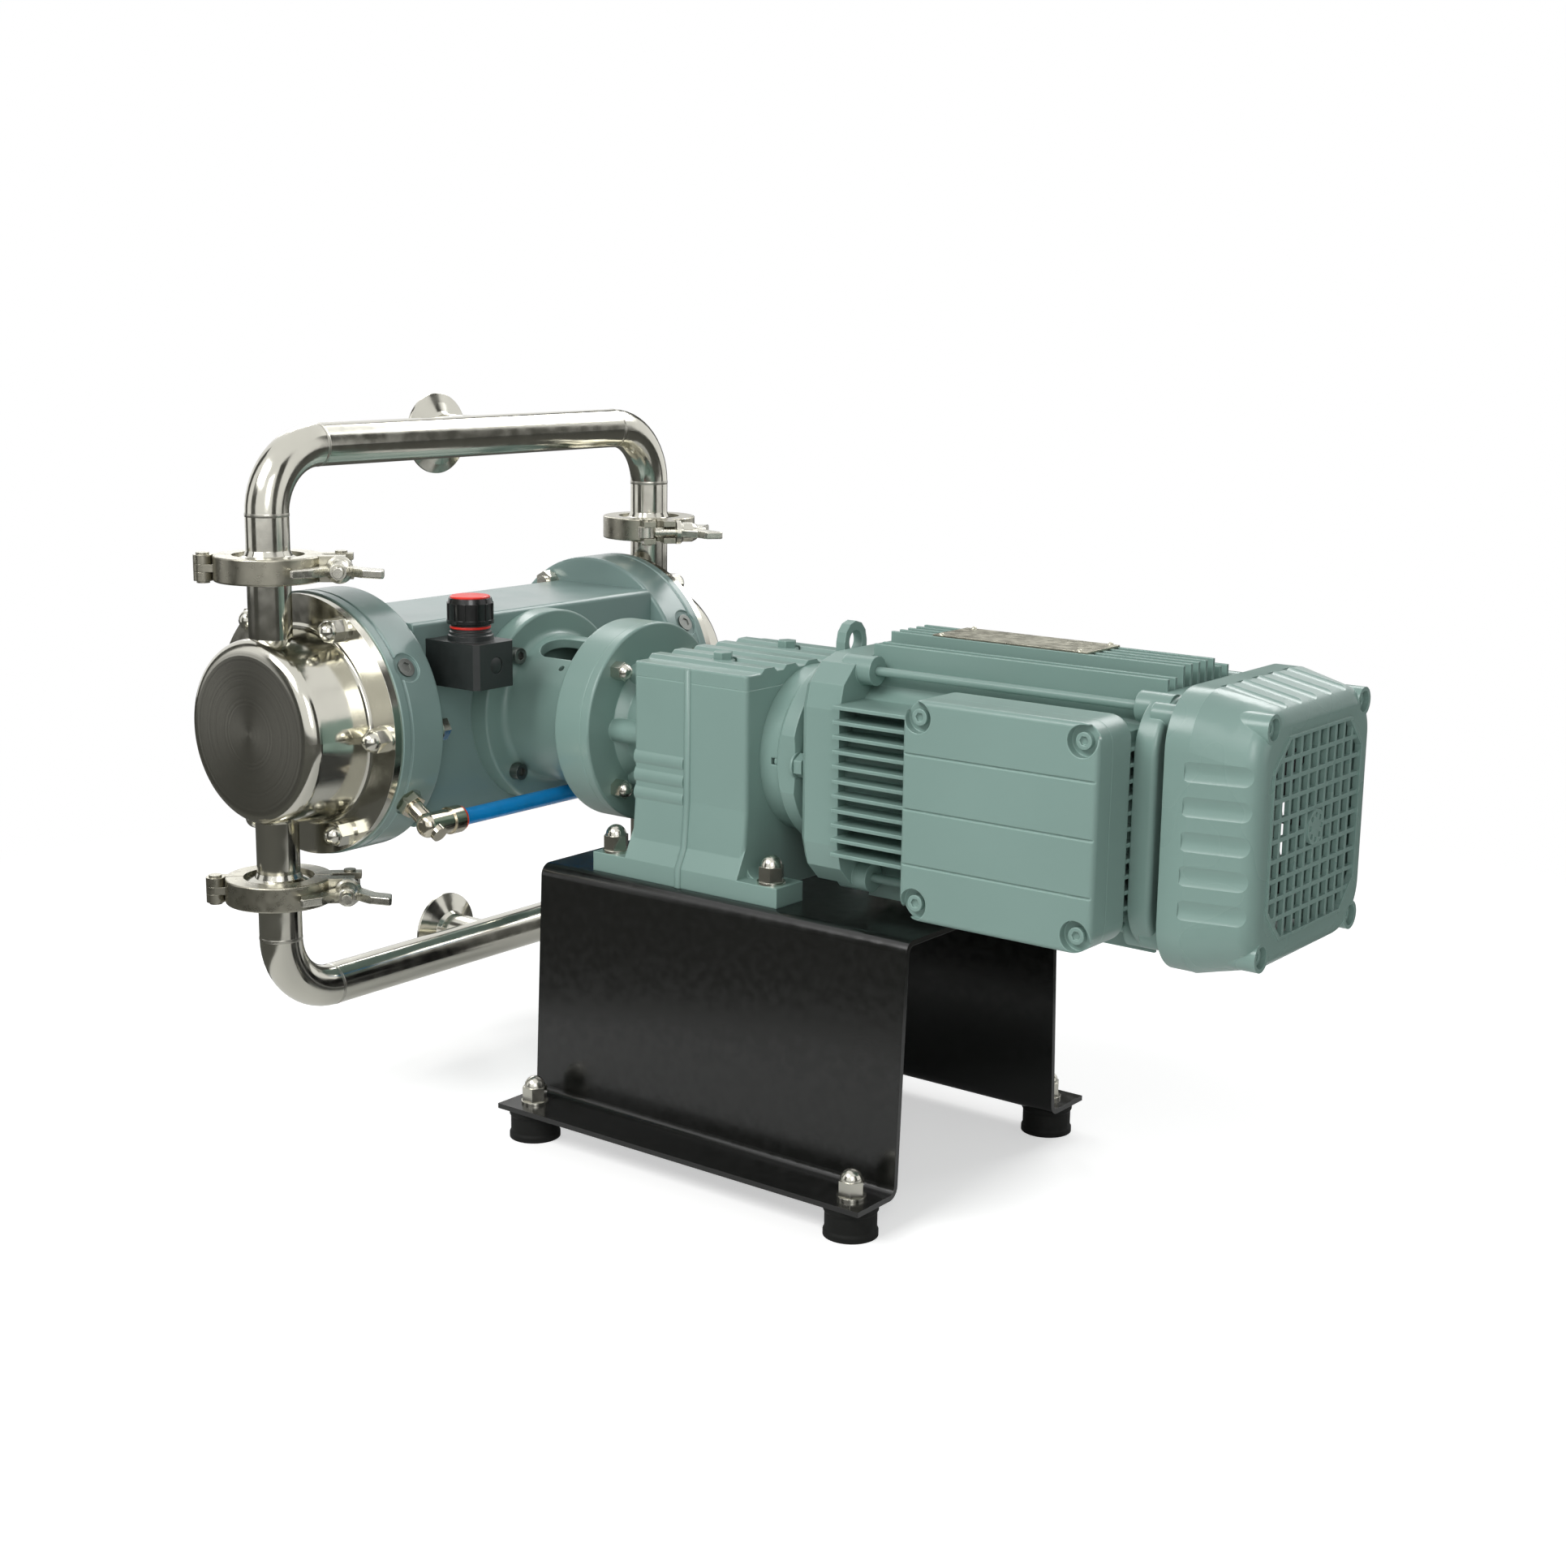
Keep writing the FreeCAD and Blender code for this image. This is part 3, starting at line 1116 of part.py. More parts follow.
def fan_guard():
    """Fan guard: fluted shell, a mesh in an eight-sided window and four screw sleeves at its corners."""
    window = new_body("guard_window", ("guard_end - guard_wall - 1", 0, "axis_height"))
    pad(window, outline(window, "YZ", [eight_sided("grille_half", "grille_corner")]), "guard_wall + 2")
    openings = [guard_form("guard_hollow", "guard_wall", "guard_wall"), window] + guard_flutes()
    pieces = [cut("guard_skin", guard_form("guard_shell", "0", "0"), openings)] + guard_grille(window)
    tools = []
    for i, (y, z) in enumerate(guard_points()):
        pieces.append(rod("guard_sleeve_%d" % i, "sleeve_radius", "guard_length", ("guard_start", y, z), "x"))
        hole_at = ("guard_start - 1", y, z)
        tools.append(rod("guard_screw_hole_%d" % i, "tie_radius + 0.3", "guard_length + 2", hole_at, "x"))
        tools.append(rod("guard_screw_recess_%d" % i, 5.5, 8, ("guard_end - 6", y, z), "x"))
    cut("fan_guard", fuse("guard_whole", pieces), tools)


def tie_rods():
    """Four long hex screws that draw the two end shields onto the stator housing."""
    length = "stator_length + rear_shield_length + 3"
    rods = []
    for i, (y, z) in enumerate(tie_points()):
        shank = rod("tie_shank_%d" % i, "tie_radius", length, ("stator_start - 11", y, z), "x")
        head = hexagon("tie_head_%d" % i, 4, 3.5, ("guard_start - 8", y, z), "x")
        rods.append(fuse("tie_rod_%d" % i, [shank, head]))
    group("tie_rods", rods)


def socket_screw(name, radius, head_radius, head, reach, at, axis, seat_way):
    """A socket head screw seated at a point: the head goes out along an axis, the shank back."""
    way = turn_of(axis).multVec(Vector(0, 0, 1))
    top = tuple("(%s) + %g*(%s)" % (text, part, head) for text, part in zip(at, (way.x, way.y, way.z)))
    cap = rod(name + "_head", head_radius, head, at, axis)
    shank = rod(name + "_shank", radius, reach, at, seat_way)
    key = hexagon(name + "_key", "(%s)*0.5" % head_radius, "(%s)*0.5" % head, top, seat_way)
    return cut(name, fuse(name + "_solid", [cap, shank]), [key])


def motor_screws():
    """Painted fasteners: fan guard, terminal cover, gear cover and motor adapter."""
    screws = []
    for i, (y, z) in enumerate(guard_points()):
        at = ("guard_end - 6", y, z)
        screws.append(socket_screw("guard_screw_%d" % i, "tie_radius", 4.5, 3.5, "guard_length + 3", at, "x", "-x"))
    for i, (x, z) in enumerate(cover_points()):
        at = (x, "cover_recess - cover_face", z)
        screws.append(socket_screw("cover_screw_%d" % i, 2.5, 4.3, 3, "box_cover_depth + 4", at, "-y", "y"))
    for i in (-1, 1):
        y = "%d*case_half/2" % i
        at, shank_at = ("case_middle", y, "case_top + cover_thick"), ("case_middle", y, "case_top + 1")
        head = hexagon("gear_cover_hex_%d" % (i + 1), "m6_hex", 6, at)
        flange = rod("gear_cover_flange_%d" % (i + 1), 7, 1.5, at)
        shank = rod("gear_cover_shank_%d" % (i + 1), "m6_radius - 0.6", "cover_thick - 1", shank_at)
        screws.append(fuse("gear_cover_screw_%d" % (i + 1), [head, flange, shank]))
    ring_face = "case_front + adapter_ring_end"
    stud_start = ring_face + " - adapter_ring_width - 6"
    for i, degrees in enumerate(ADAPTER_ANGLES):
        y, z = around("adapter_nut_circle", degrees)
        nut = hexagon("adapter_nut_%d" % i, "m6_hex", 5, (ring_face, y, z), "x")
        stud = rod("adapter_stud_%d" % i, "m6_radius", "adapter_ring_width + 14", (stud_start, y, z), "x")
        screws.append(fuse("adapter_fastener_%d" % i, [nut, stud]))
    group("motor_screws", screws)


def cover_points():
    points = []
    for i in (-1, 1):
        x = "box_middle + %d*(box_length/2 - cover_inset)" % i
        points += [(x, "axis_height + %d*(box_height/2 - cover_inset)" % k) for k in (-1, 1)]
    return points


def tray(name, y, depth, room_y, room_depth, front_round=None):
    """A shallow box with rounded corners that stands out towards -Y, and the room inside it."""
    at, room_at = ("box_start", y, "box_bottom"), ("box_start + box_wall", room_y, "box_bottom + box_wall")
    size = ("box_length", "box_height", "box_corner", depth)
    room_size = ("box_length - 2*box_wall", "box_height - 2*box_wall", "box_corner - box_wall", room_depth)
    return panel(name + "_outer", *size, at, front_round), panel(name + "_inner", *room_size, room_at)


def terminal_box():
    """Open box on the near side of the motor, with a cable entry in its lower wall."""
    outer, inner = tray("box", "-fin_reach", "box_depth", "-fin_reach - box_wall", "box_depth")
    pieces, tools = [cut("box_shell", outer, [inner])], []
    for i, (x, z) in enumerate(cover_points()):
        pieces.append(rod("box_post_%d" % i, 6, "box_depth - 1", (x, "-fin_reach - 1", z), "-y"))
        tools.append(rod("box_thread_%d" % i, 2.55, 12, (x, "-box_face", z), "y"))
    entry_y = "-fin_reach - box_depth/2"
    pieces.append(rod("cable_boss", "cable_radius + 1.2", 6, ("box_middle", entry_y, "box_bottom")))
    tools.append(rod("cable_entry", "cable_radius", 10, ("box_middle", entry_y, "box_bottom - 1")))
    cut("terminal_box", fuse("box_solid", pieces), tools)


def terminal_cover():
    """Hollow cover with a rounded front, three grooves across it and four recessed screws."""
    outer, inner = tray("cover", "-box_face", "box_cover_depth", "-box_face", "box_cover_depth - box_wall", 3)
    post_radius, post_depth = "cover_recess_radius + 3.5", "box_cover_depth - 1"
    posts, tools = [], []
    for i, (x, z) in enumerate(cover_points()):
        posts.append(rod("cover_post_%d" % i, post_radius, post_depth, (x, "-box_face", z), "-y"))
        recess_at = (x, "cover_recess - cover_face", z)
        tools.append(rod("cover_hole_%d" % i, 2.8, 30, (x, "-box_face + 2", z), "-y"))
        tools.append(rod("cover_recess_%d" % i, "cover_recess_radius", 8, recess_at, "-y"))
    groove = ("box_length + 2", 1.2, 1.2)
    for i in (-1, 0, 1):
        at = ("box_start - 1", "-cover_face - 0.4", "axis_height + %d*box_height/4" % i)
        tools.append(box("cover_line_%d" % (i + 1), groove, at))
    corners = common("cover_corners", fuse("cover_posts", posts), outer)
    cut("terminal_cover", fuse("cover_solid", [cut("cover_shell", outer, [inner]), corners]), tools)


def terminal_board():
    """Terminal board with six studs."""
    at = ("box_middle - 28", "-fin_reach - box_wall - 5", "axis_height - 20")
    parts = [box("board_plate", (56, 5, 40), at)]
    for i in range(3):
        for k in (-1, 1):
            spot = ("box_middle + %d" % (18 * (i - 1)), "-fin_reach - box_wall - 4", "axis_height + %d" % (11 * k))
            parts.append(rod("terminal_stud_%d%d" % (i, k + 1), 2, 14, spot, "-y"))
            seat = (spot[0], "-fin_reach - box_wall - 5", spot[2])
            parts.append(hexagon("terminal_nut_%d%d" % (i, k + 1), 3.5, 3, seat, "-y"))
    fuse("terminal_board", parts)


def nameplate():
    """A bare rating plate with four rivets on the middle top fins."""
    top, start = "axis_height + top_fin_reach", "stator_start + plate_start_gap"
    size = ("plate_length", "4*fin_pitch + fin_thick", 1)
    pieces = [box("plate_sheet", size, (start, "-(2*fin_pitch + fin_thick/2)", top))]
    for i in (-1, 1):
        for k in (-1, 1):
            x = "%s + plate_length/2 + %d*(plate_length/2 - 5)" % (start, i)
            rivet = doc.addObject("Part::Sphere", "plate_rivet_%d%d" % (i + 1, k + 1))
            rivet.Radius = 1.7
            rivet.Angle1 = 0
            pieces.append(place(rivet, (x, "%d*2*fin_pitch" % k, top + " + 0.5")))
    fuse("nameplate", pieces)


def lantern():
    """Lantern between pump body and gear unit, with its two flanges, the bearing seat and a window."""
    small, whole, large = "small_flange_thick", "lantern_length", "lantern_length - big_flange_thick"
    inner, tube, flange = "lantern_radius - lantern_wall", "lantern_radius", "lantern_flange_radius"
    bore, seat = "output_shaft_radius + 2", "output_shaft_radius + 10"
    profile = [
        (bore, 0), (flange, 0), (flange, small), (tube, small), (tube, large), (flange, large), (flange, whole),
        (inner, whole), (inner, small), (seat, small), (seat, 2), (bore, 2),
    ]
    body = turned("lantern_turned", profile, ("block_front", 0, "axis_height"), "x")
    eased = soften(body, body.Tip, 4, lambda e: is_ring(e, tube, small) or is_ring(e, tube, large))
    soften(body, eased, 1.5, lambda e: is_ring(e, flange, small) or is_ring(e, flange, large))
    cut("lantern", body, lantern_window() + lantern_holes())


def lantern_window():
    """A round-ended window in the upper near side of the lantern, and a small hole beside it."""
    lean = Rotation(Vector(1, 0, 0), 23)
    tools = []
    for i in (-1, 1):
        at = ("window_middle + %d*14" % i, 0, "axis_height")
        tools.append(rod("window_end_%d" % (i + 1), 11, 60, at, lean))
    way = lean.multVec(Vector(0, -11, 0))
    between_at = ("window_middle - 14", "%g" % way.y, "axis_height + %g" % way.z)
    tools.append(place(box("window_between", (28, 22, 60), (0, 0, 0)), between_at, lean))
    hole_lean = Rotation(Vector(1, 0, 0), 46)
    tools.append(rod("lantern_small_hole", 2, 60, ("window_middle + 3", 0, "axis_height"), hole_lean))
    return tools


def lantern_holes():
    """Bolt holes with spot faces at the large flange, screw holes with head room at the small one."""
    clear, holes = "m6_radius + hole_gap", []
    face_start = "gear_flange_front - big_flange_thick - 7"
    for i, (y, z) in enumerate(gear_screw_points()):
        holes.append(rod("lantern_bolt_hole_%d" % i, clear, 30, ("gear_flange_front - 25", y, z), "x"))
        holes.append(rod("lantern_spot_face_%d" % i, "m6_hex + 1.4", 7, (face_start, y, z), "x"))
    for i, (y, z) in enumerate(body_screw_points()):
        holes.append(rod("lantern_hole_%d" % i, clear, 20, ("block_front - 1", y, z), "x"))
        holes.append(rod("lantern_head_room_%d" % i, 5.6, 8, ("block_front + small_flange_thick", y, z), "x"))
    return holes


def socket_screws():
    """Four lantern screws and the two plugs in the air discs."""
    screws = []
    reach = "small_flange_thick + 13"
    for i, (y, z) in enumerate(body_screw_points()):
        at = ("block_front + small_flange_thick", y, z)
        screws.append(socket_screw("lantern_screw_%d" % i, "m6_radius", 5, "2*m6_radius", reach, at, "x", "-x"))
    x, z = beside("port_seat", 30)
    for side in (-1, 1):
        at, name = (x, "%d*fitting_y" % side, z), "port_plug_%d" % (side + 1)
        screws.append(socket_screw(name, 4.8, 5.6, 1.4, 8, at, radial(30), radial(210)))
    group("socket_screws", screws)


def coupling():
    """Rigid coupling between the output shaft and the eccentric shaft, with its clamp screw holes."""
    start, level = "gear_flange_front - 21 - coupling_length", "axis_height + output_shaft_radius"
    bore, rim, waist = "output_shaft_radius + fit", "coupling_radius", "coupling_radius - 3"
    low, high = "coupling_length/2 - 1.5", "coupling_length/2 + 1.5"
    profile = [
        (bore, 0), (rim, 0), (rim, low), (waist, low), (waist, high), (rim, high), (rim, "coupling_length"),
        (bore, "coupling_length"),
    ]
    sleeve = turned("coupling_sleeve", profile, (start, 0, "axis_height"), "x")
    tools = []
    for i in (1, 3):
        at = ("%s + coupling_length*%d/4" % (start, i), 0, level + " + 5")
        tools.append(rod("clamp_screw_room_%d" % i, 3.2, 20, at))
    tools.append(box("coupling_slit", ("coupling_length + 2", 1.5, 12), (start + " - 1", -0.75, level + " - 1")))
    cut("coupling", sleeve, tools)


def eccentric_shaft():
    """Journals on the motor axis with the eccentric pin between them, set by half the stroke."""
    level, back_start = "axis_height", "block_back + 3.5"
    pin_start, pin_end = "pump_x - eccentric_width/2", "pump_x + eccentric_width/2"
    pin_at = (pin_start, 0, "axis_height + throw")
    pin = rod("eccentric_pin", "eccentric_radius", "eccentric_width", pin_at, "x")
    back_length = "%s - (%s) + 1" % (pin_start, back_start)
    back = rod("rear_journal", "output_shaft_radius - 2", back_length, (back_start, 0, level), "x")
    front_length = "gear_flange_front - 42 - (%s) + 1" % pin_end
    front = rod("front_journal", "output_shaft_radius", front_length, (pin_end + " - 1", 0, level), "x")
    fuse("eccentric_shaft", [pin, back, front])


def body_block():
    """Pump body: crank chamber open to the lantern, and bores for the two crosshead rods."""
    body = new_body("block_casting", ("block_back", 0, "axis_height"))
    depth, half, high = "block_front - block_back", "block_half_length", "block_half_height"
    corners = [("-" + half, "-" + high), (half, "-" + high), (half, high), ("-" + half, high)]
    block = pad(body, outline(body, "YZ", [corners]), depth)
    soften(body, block, 3, lambda e: along(e, "y"))
    rod_start = ("pump_x", "-block_half_length - 1", "axis_height")
    tools = [
        rod("crank_chamber", "chamber_radius", 80, ("block_back + 10", 0, "axis_height"), "x"),
        rod("rear_journal_bore", "output_shaft_radius + 5", 10, ("block_back + 3", 0, "axis_height"), "x"),
        rod("rod_bores", "rod_radius + 1", "2*block_half_length + 2", rod_start, "y"),
    ]
    for i, (y, z) in enumerate(body_screw_points()):
        tools.append(rod("body_thread_%d" % i, "m6_radius + fit", 15, ("block_front - 14", y, z), "x"))
    cut("body_block", body, tools)


def crosshead():
    """Yoke around the eccentric pin, with a rod to each diaphragm."""
    yoke = box("yoke_block", (20, 54, 44), ("pump_x - 10", -27, "axis_height - 22"))
    rods = rod("crosshead_rod", "rod_radius", "2*rod_reach", ("pump_x", "-rod_reach", "axis_height"), "y")
    wide, high = "(eccentric_radius + 2*throw + 0.5)", "(eccentric_radius + throw + 1)"
    size = (22, "2*" + wide, "2*" + high)
    window = box("yoke_window", size, ("pump_x - 11", "-" + wide, "axis_height - " + high))
    cut("crosshead", fuse("crosshead_solid", [yoke, rods]), [window])


STUD_ANGLES = (0, 60, 120, 180, 240, 300)
BLOCKED = (60, 300)


def near_disc():
    """Air disc: diaphragm recess and air space outboard, rod bore, stud holes and two radial ports."""
    thick, rim = "disc_thick", "disc_radius"
    bore = "rod_radius + fit"
    seat, air = "disc_thick - diaphragm_thick", "diaphragm_radius - 9"
    profile = [
        (bore, 0), (rim, 0), (rim, thick + " - 7.6"), (rim + " - 1", thick + " - 7"), (rim + " - 1", thick + " - 6"),
        (rim, thick + " - 5.4"), (rim, thick), ("diaphragm_radius + fit", thick), ("diaphragm_radius + fit", seat),
        (air, seat), (air, thick + " - 14"), (bore, thick + " - 14"),
    ]
    body = turned("disc_turned", profile, ("pump_x", "-block_half_length", "axis_height"), "-y")
    soften(body, body.Tip, 2, lambda e: is_ring(e, rim, 0))
    tools = []
    for degrees in STUD_ANGLES:
        x, z = beside("bolt_circle", degrees)
        blind = degrees in BLOCKED
        start = "-(block_half_length + 4)" if blind else "-(block_half_length - 1)"
        tools.append(rod("disc_stud_hole_%d" % degrees, "m8_radius + 0.3", 40, (x, start, z), "-y"))
    for degrees in (-31, 30):
        x, z = beside("disc_radius - 33", degrees)
        tools.append(rod("disc_port_%d" % (degrees + 31), 4.9, 40, (x, "-fitting_y", z), radial(degrees)))
        x, z = beside("port_seat", degrees)
        tools.append(rod("disc_port_face_%d" % (degrees + 31), 9, 10, (x, "-fitting_y", z), radial(degrees)))
    cut("near_disc", body, tools)


def diaphragms():
    """Moulded diaphragms: a clamped rim and one convolution, open at the plate."""
    rim, thick, bore = "diaphragm_radius", "diaphragm_thick", "plate_radius + 1.5"
    start = "block_half_length + disc_thick - diaphragm_thick"
    profile = [
        (rim, 0), (rim, thick), (50, thick), (45, 6), (38, 8.5), (32, 7), (28.5, 3.4), (bore, 3), (bore, 0.8),
        (30, 1.2), (34, 4.6), (38, 6), (43, 3.6), (48, 0),
    ]
    sides = []
    for name, sign, axis in (("near_diaphragm", "-", "-y"), ("far_diaphragm", "", "y")):
        sides.append(turned(name, profile, ("pump_x", sign + "(" + start + ")", "axis_height"), axis))
    group("diaphragms", sides)


def diaphragm_plates():
    """Plates at the ends of the crosshead rods."""
    thick, rim = "plate_thick", "plate_radius"
    deep = "rod_reach - plate_start"
    profile = [
        ("rod_radius + fit", 0), (rim + " - 2", 0), (rim, 2), (rim, thick + " - 4"), (rim + " - 4", thick), (0, thick),
        (0, deep), ("rod_radius + fit", deep),
    ]
    sides = []
    for name, sign, axis in (("near_plate", "-", "-y"), ("far_plate", "", "y")):
        sides.append(turned(name, profile, ("pump_x", sign + "plate_start", "axis_height"), axis))
    group("diaphragm_plates", sides)


def ferrule(name, at, axis):
    """A clamp ferrule seen from its face, welded on the pipe behind it."""
    slope_end = ("ferrule_radius - ferrule_slope_run", "ferrule_edge + ferrule_slope_rise")
    profile = [
        (0, 0), ("ferrule_radius", 0), ("ferrule_radius", "ferrule_edge"), slope_end, (14, 6), ("tube_radius", 9),
        (0, 9),
    ]
    return turned(name, profile, at, axis)


def head_room(name, root, rim, low, deep, rim_round):
    """The room inside the head: slightly tapered side, flat end and a round between them."""
    at = ("pump_x", "-flange_face", "axis_height")
    dome = turned(name, [(0, low), (root, low), (rim, deep), (0, deep)], at, "-y")
    soften(dome, dome.Tip, rim_round, lambda e: is_ring(e, rim, deep))
    return dome


def near_head():
    """Turned head with a flange, and ferrule stubs above and below welded through its side."""
    flange, rim, root, deep = "head_flange_thick", "head_flange_radius", "head_root_radius", "head_depth"
    outer = [(0, 0), (rim, 0), (rim, flange), (root, flange), ("head_radius", deep), (0, deep)]
    dome = turned("head_outer", outer, ("pump_x", "-flange_face", "axis_height"), "-y")
    rounded = soften(dome, dome.Tip, "head_rim_round", lambda e: is_ring(e, "head_radius", deep))
    soften(dome, rounded, 3, lambda e: is_ring(e, root, flange))
    room = head_room(
        "head_inner", "head_root_radius - head_wall", "head_radius - head_wall", -1, "head_depth - head_wall",
        "head_rim_round - head_wall")
    low, high = "axis_height - joint_offset + gasket_thick/2", "axis_height + joint_offset - gasket_thick/2"
    bore_at = ("pump_x", "-pipe_half", "axis_height - joint_offset - 1")
    pieces = [
        dome,
        rod("head_pipe", "tube_radius", "2*joint_offset - gasket_thick", ("pump_x", "-pipe_half", low)),
        ferrule("head_ferrule_low", ("pump_x", "-pipe_half", low), "z"),
        ferrule("head_ferrule_high", ("pump_x", "-pipe_half", high), "-z"),
    ]
    bore = rod("head_bore", "tube_radius - tube_wall", "2*joint_offset + 2", bore_at)
    shell = cut("head_shell", fuse("head_solid", pieces), [room, bore])
    stop = ball_stop("near_ball_stop", "-pipe_half", low)
    holes = []
    for degrees in STUD_ANGLES:
        x, z = beside("bolt_circle", degrees)
        holes.append(rod("head_stud_hole_%d" % degrees, "m8_radius + 0.3", 12, (x, "-flange_face + 1", z), "-y"))
    cut("near_head", fuse("head_with_stop", [shell, stop]), holes)


def ball_stop(name, y, joint):
    """A bar across the pipe that stops the valve ball, above the valve's joint."""
    at = ("pump_x", "%s - tube_radius + 0.7" % y, joint + " + stop_height")
    return rod(name, "stop_radius", "2*tube_radius - 1.4", at, "y")


def head_bolts():
    """Studs with an acorn nut outboard, and where the body leaves room, a hex nut inboard."""
    bolts = []
    through = "head_flange_thick + disc_thick"
    for side, axis, back in ((-1, "-y", "y"), (1, "y", "-y")):
        for degrees in STUD_ANGLES:
            name = "stud_%d_%d" % (side + 1, degrees)
            x, z = beside("bolt_circle", degrees)
            y = "%d*(flange_face + head_flange_thick)" % side
            if degrees in BLOCKED:
                bolts.append(acorn(name, "m8", through + " - 5", (x, y, z), axis))
                continue
            # The two nuts beside the lower pipe stand on smaller washers, turned by half a flat.
            washer, spin = (6.45, 30) if degrees in (120, 240) else (8, 0)
            seat, nut_seat = "%d*block_half_length" % side, "%d*(block_half_length - 1.6)" % side
            pieces = [
                acorn(name + "_cap", "m8", through + " + 9.7", (x, y, z), axis),
                rod(name + "_washer", washer, 1.6, (x, seat, z), back),
                hexagon(name + "_nut", "m8_hex - 0.1", 6.5, (x, nut_seat, z), back, spin),
            ]
            bolts.append(fuse(name, pieces))
    group("head_bolts", bolts)


def pipe_pieces(name, radius, up, extra):
    """Two legs, two bends and the cross pipe with its port: all the pipe of one manifold at one radius."""
    turn_z = "axis_height + %d*(manifold_offset - bend)" % up
    level = "axis_height + %d*manifold_offset" % up
    joint = "axis_height + %d*(joint_offset + gasket_thick/2 - %g)" % (up, extra)
    port_at = ("pump_x - port_reach - %g" % extra, 0, level)
    pieces = [
        rod(name + "_cross", radius, "2*(pipe_half - bend)", ("pump_x", "-(pipe_half - bend)", level), "y"),
        rod(name + "_port", radius, "port_reach + %g" % extra, port_at, "x"),
    ]
    length = "manifold_offset - bend - joint_offset - gasket_thick/2 + %g" % extra
    for side in (-1, 1):
        at = ("pump_x", "%d*pipe_half" % side, joint)
        pieces.append(rod("%s_leg_%d" % (name, side + 1), radius, length, at, "z" if up > 0 else "-z"))
        elbow = doc.addObject("Part::Torus", "%s_bend_%d" % (name, side + 1))
        elbow.setExpression("Radius1", bound("bend"))
        elbow.setExpression("Radius2", bound(radius))
        elbow.Angle3 = 90
        turn = Rotation(Vector(0, side, 0), Vector(0, 0, up), Vector(side * up, 0, 0), "ZXY")
        pieces.append(place(elbow, ("pump_x", "%d*(pipe_half - bend)" % side, turn_z), turn))
    return fuse(name, pieces)


def manifold(name, up):
    """U-shaped manifold of bent pipe with three ferrules."""
    inside = pipe_pieces(name + "_inside", "tube_radius - tube_wall", up, 1)
    pieces = [pipe_pieces(name + "_outside", "tube_radius", up, 0)]
    joint = "axis_height + %d*(joint_offset + gasket_thick/2)" % up
    for side in (-1, 1):
        at = ("pump_x", "%d*pipe_half" % side, joint)
        pieces.append(ferrule("%s_ferrule_%d" % (name, side + 1), at, "z" if up > 0 else "-z"))
    port_at = ("pump_x - port_reach", 0, "axis_height + %d*manifold_offset" % up)
    pieces.append(ferrule(name + "_port_ferrule", port_at, "x"))
    shell = cut(name + "_shell" if up > 0 else name, fuse(name + "_solid", pieces), [inside])
    if up > 0:
        stops = [ball_stop("%s_stop_%d" % (name, k + 1), "%d*pipe_half" % k, joint) for k in (-1, 1)]
        fuse(name, [shell] + stops)


def valves():
    """A ball on a seat gasket at each clamped joint."""
    rim, thick = "ferrule_radius - 0.8", "gasket_thick"
    ball_rise = "gasket_thick/2 + sqrt(ball_radius^2 - seat_radius^2) + fit"
    rings = []
    for side, side_name in ((-1, "near"), (1, "far")):
        for up, up_name in ((-1, "suction"), (1, "discharge")):
            name, y = "%s_%s" % (side_name, up_name), "%d*pipe_half" % side
            joint = "axis_height + %d*joint_offset" % up
            seat_at = ("pump_x", y, joint + " - gasket_thick/2")
            rings.append(ring("seat_" + name, "seat_radius", rim, thick, seat_at, "z"))
            ball = doc.addObject("Part::Sphere", "ball_" + name)
            ball.setExpression("Radius", bound("ball_radius"))
            ball.Label = ball.Name
            place(ball, ("pump_x", y, "%s + %s" % (joint, ball_rise)))
    seal_at = ("gear_flange_front + 2", 0, "axis_height")
    rings.append(ring("shaft_seal", "output_shaft_radius + fit", "output_shaft_radius + 7 - fit", 5, seal_at, "x"))
    group("seals", rings)


def clamp_spots():
    """Where the four clamps sit: name, side along Y, up or down, and the turn of each."""
    spots = []
    for side, side_name in ((-1, "near"), (1, "far")):
        turn = Rotation(Vector(0, 0, 1), 45) if side < 0 else Rotation(Vector(0, 0, 1), -40) * TURN["-z"]
        for up, up_name in ((-1, "suction"), (1, "discharge")):
            at = ("pump_x", "%d*pipe_half" % side, "axis_height + %d*joint_offset" % up)
            spots.append((side_name + "_" + up_name, at, turn))
    return spots


def clamp_ring(name):
    """Ring of the clamp, whose groove follows the sloping backs of two ferrules."""
    high = "clamp_height/2"

    def slope(radius):
        drop = "(ferrule_radius - %s)*ferrule_slope_rise/ferrule_slope_run" % radius
        return "gasket_thick/2 + ferrule_edge + %s + fit" % drop

    lip, groove = slope("clamp_lip"), slope("clamp_groove")
    upper = [("clamp_radius", high), ("clamp_lip", high), ("clamp_lip", lip), ("clamp_groove", groove)]
    profile = upper + [(radius, "-(%s)" % level) for radius, level in reversed(upper)]
    body = turned(name, profile)
    soften(body, body.Tip, 1, lambda e: is_ring(e, "clamp_radius"))
    return body


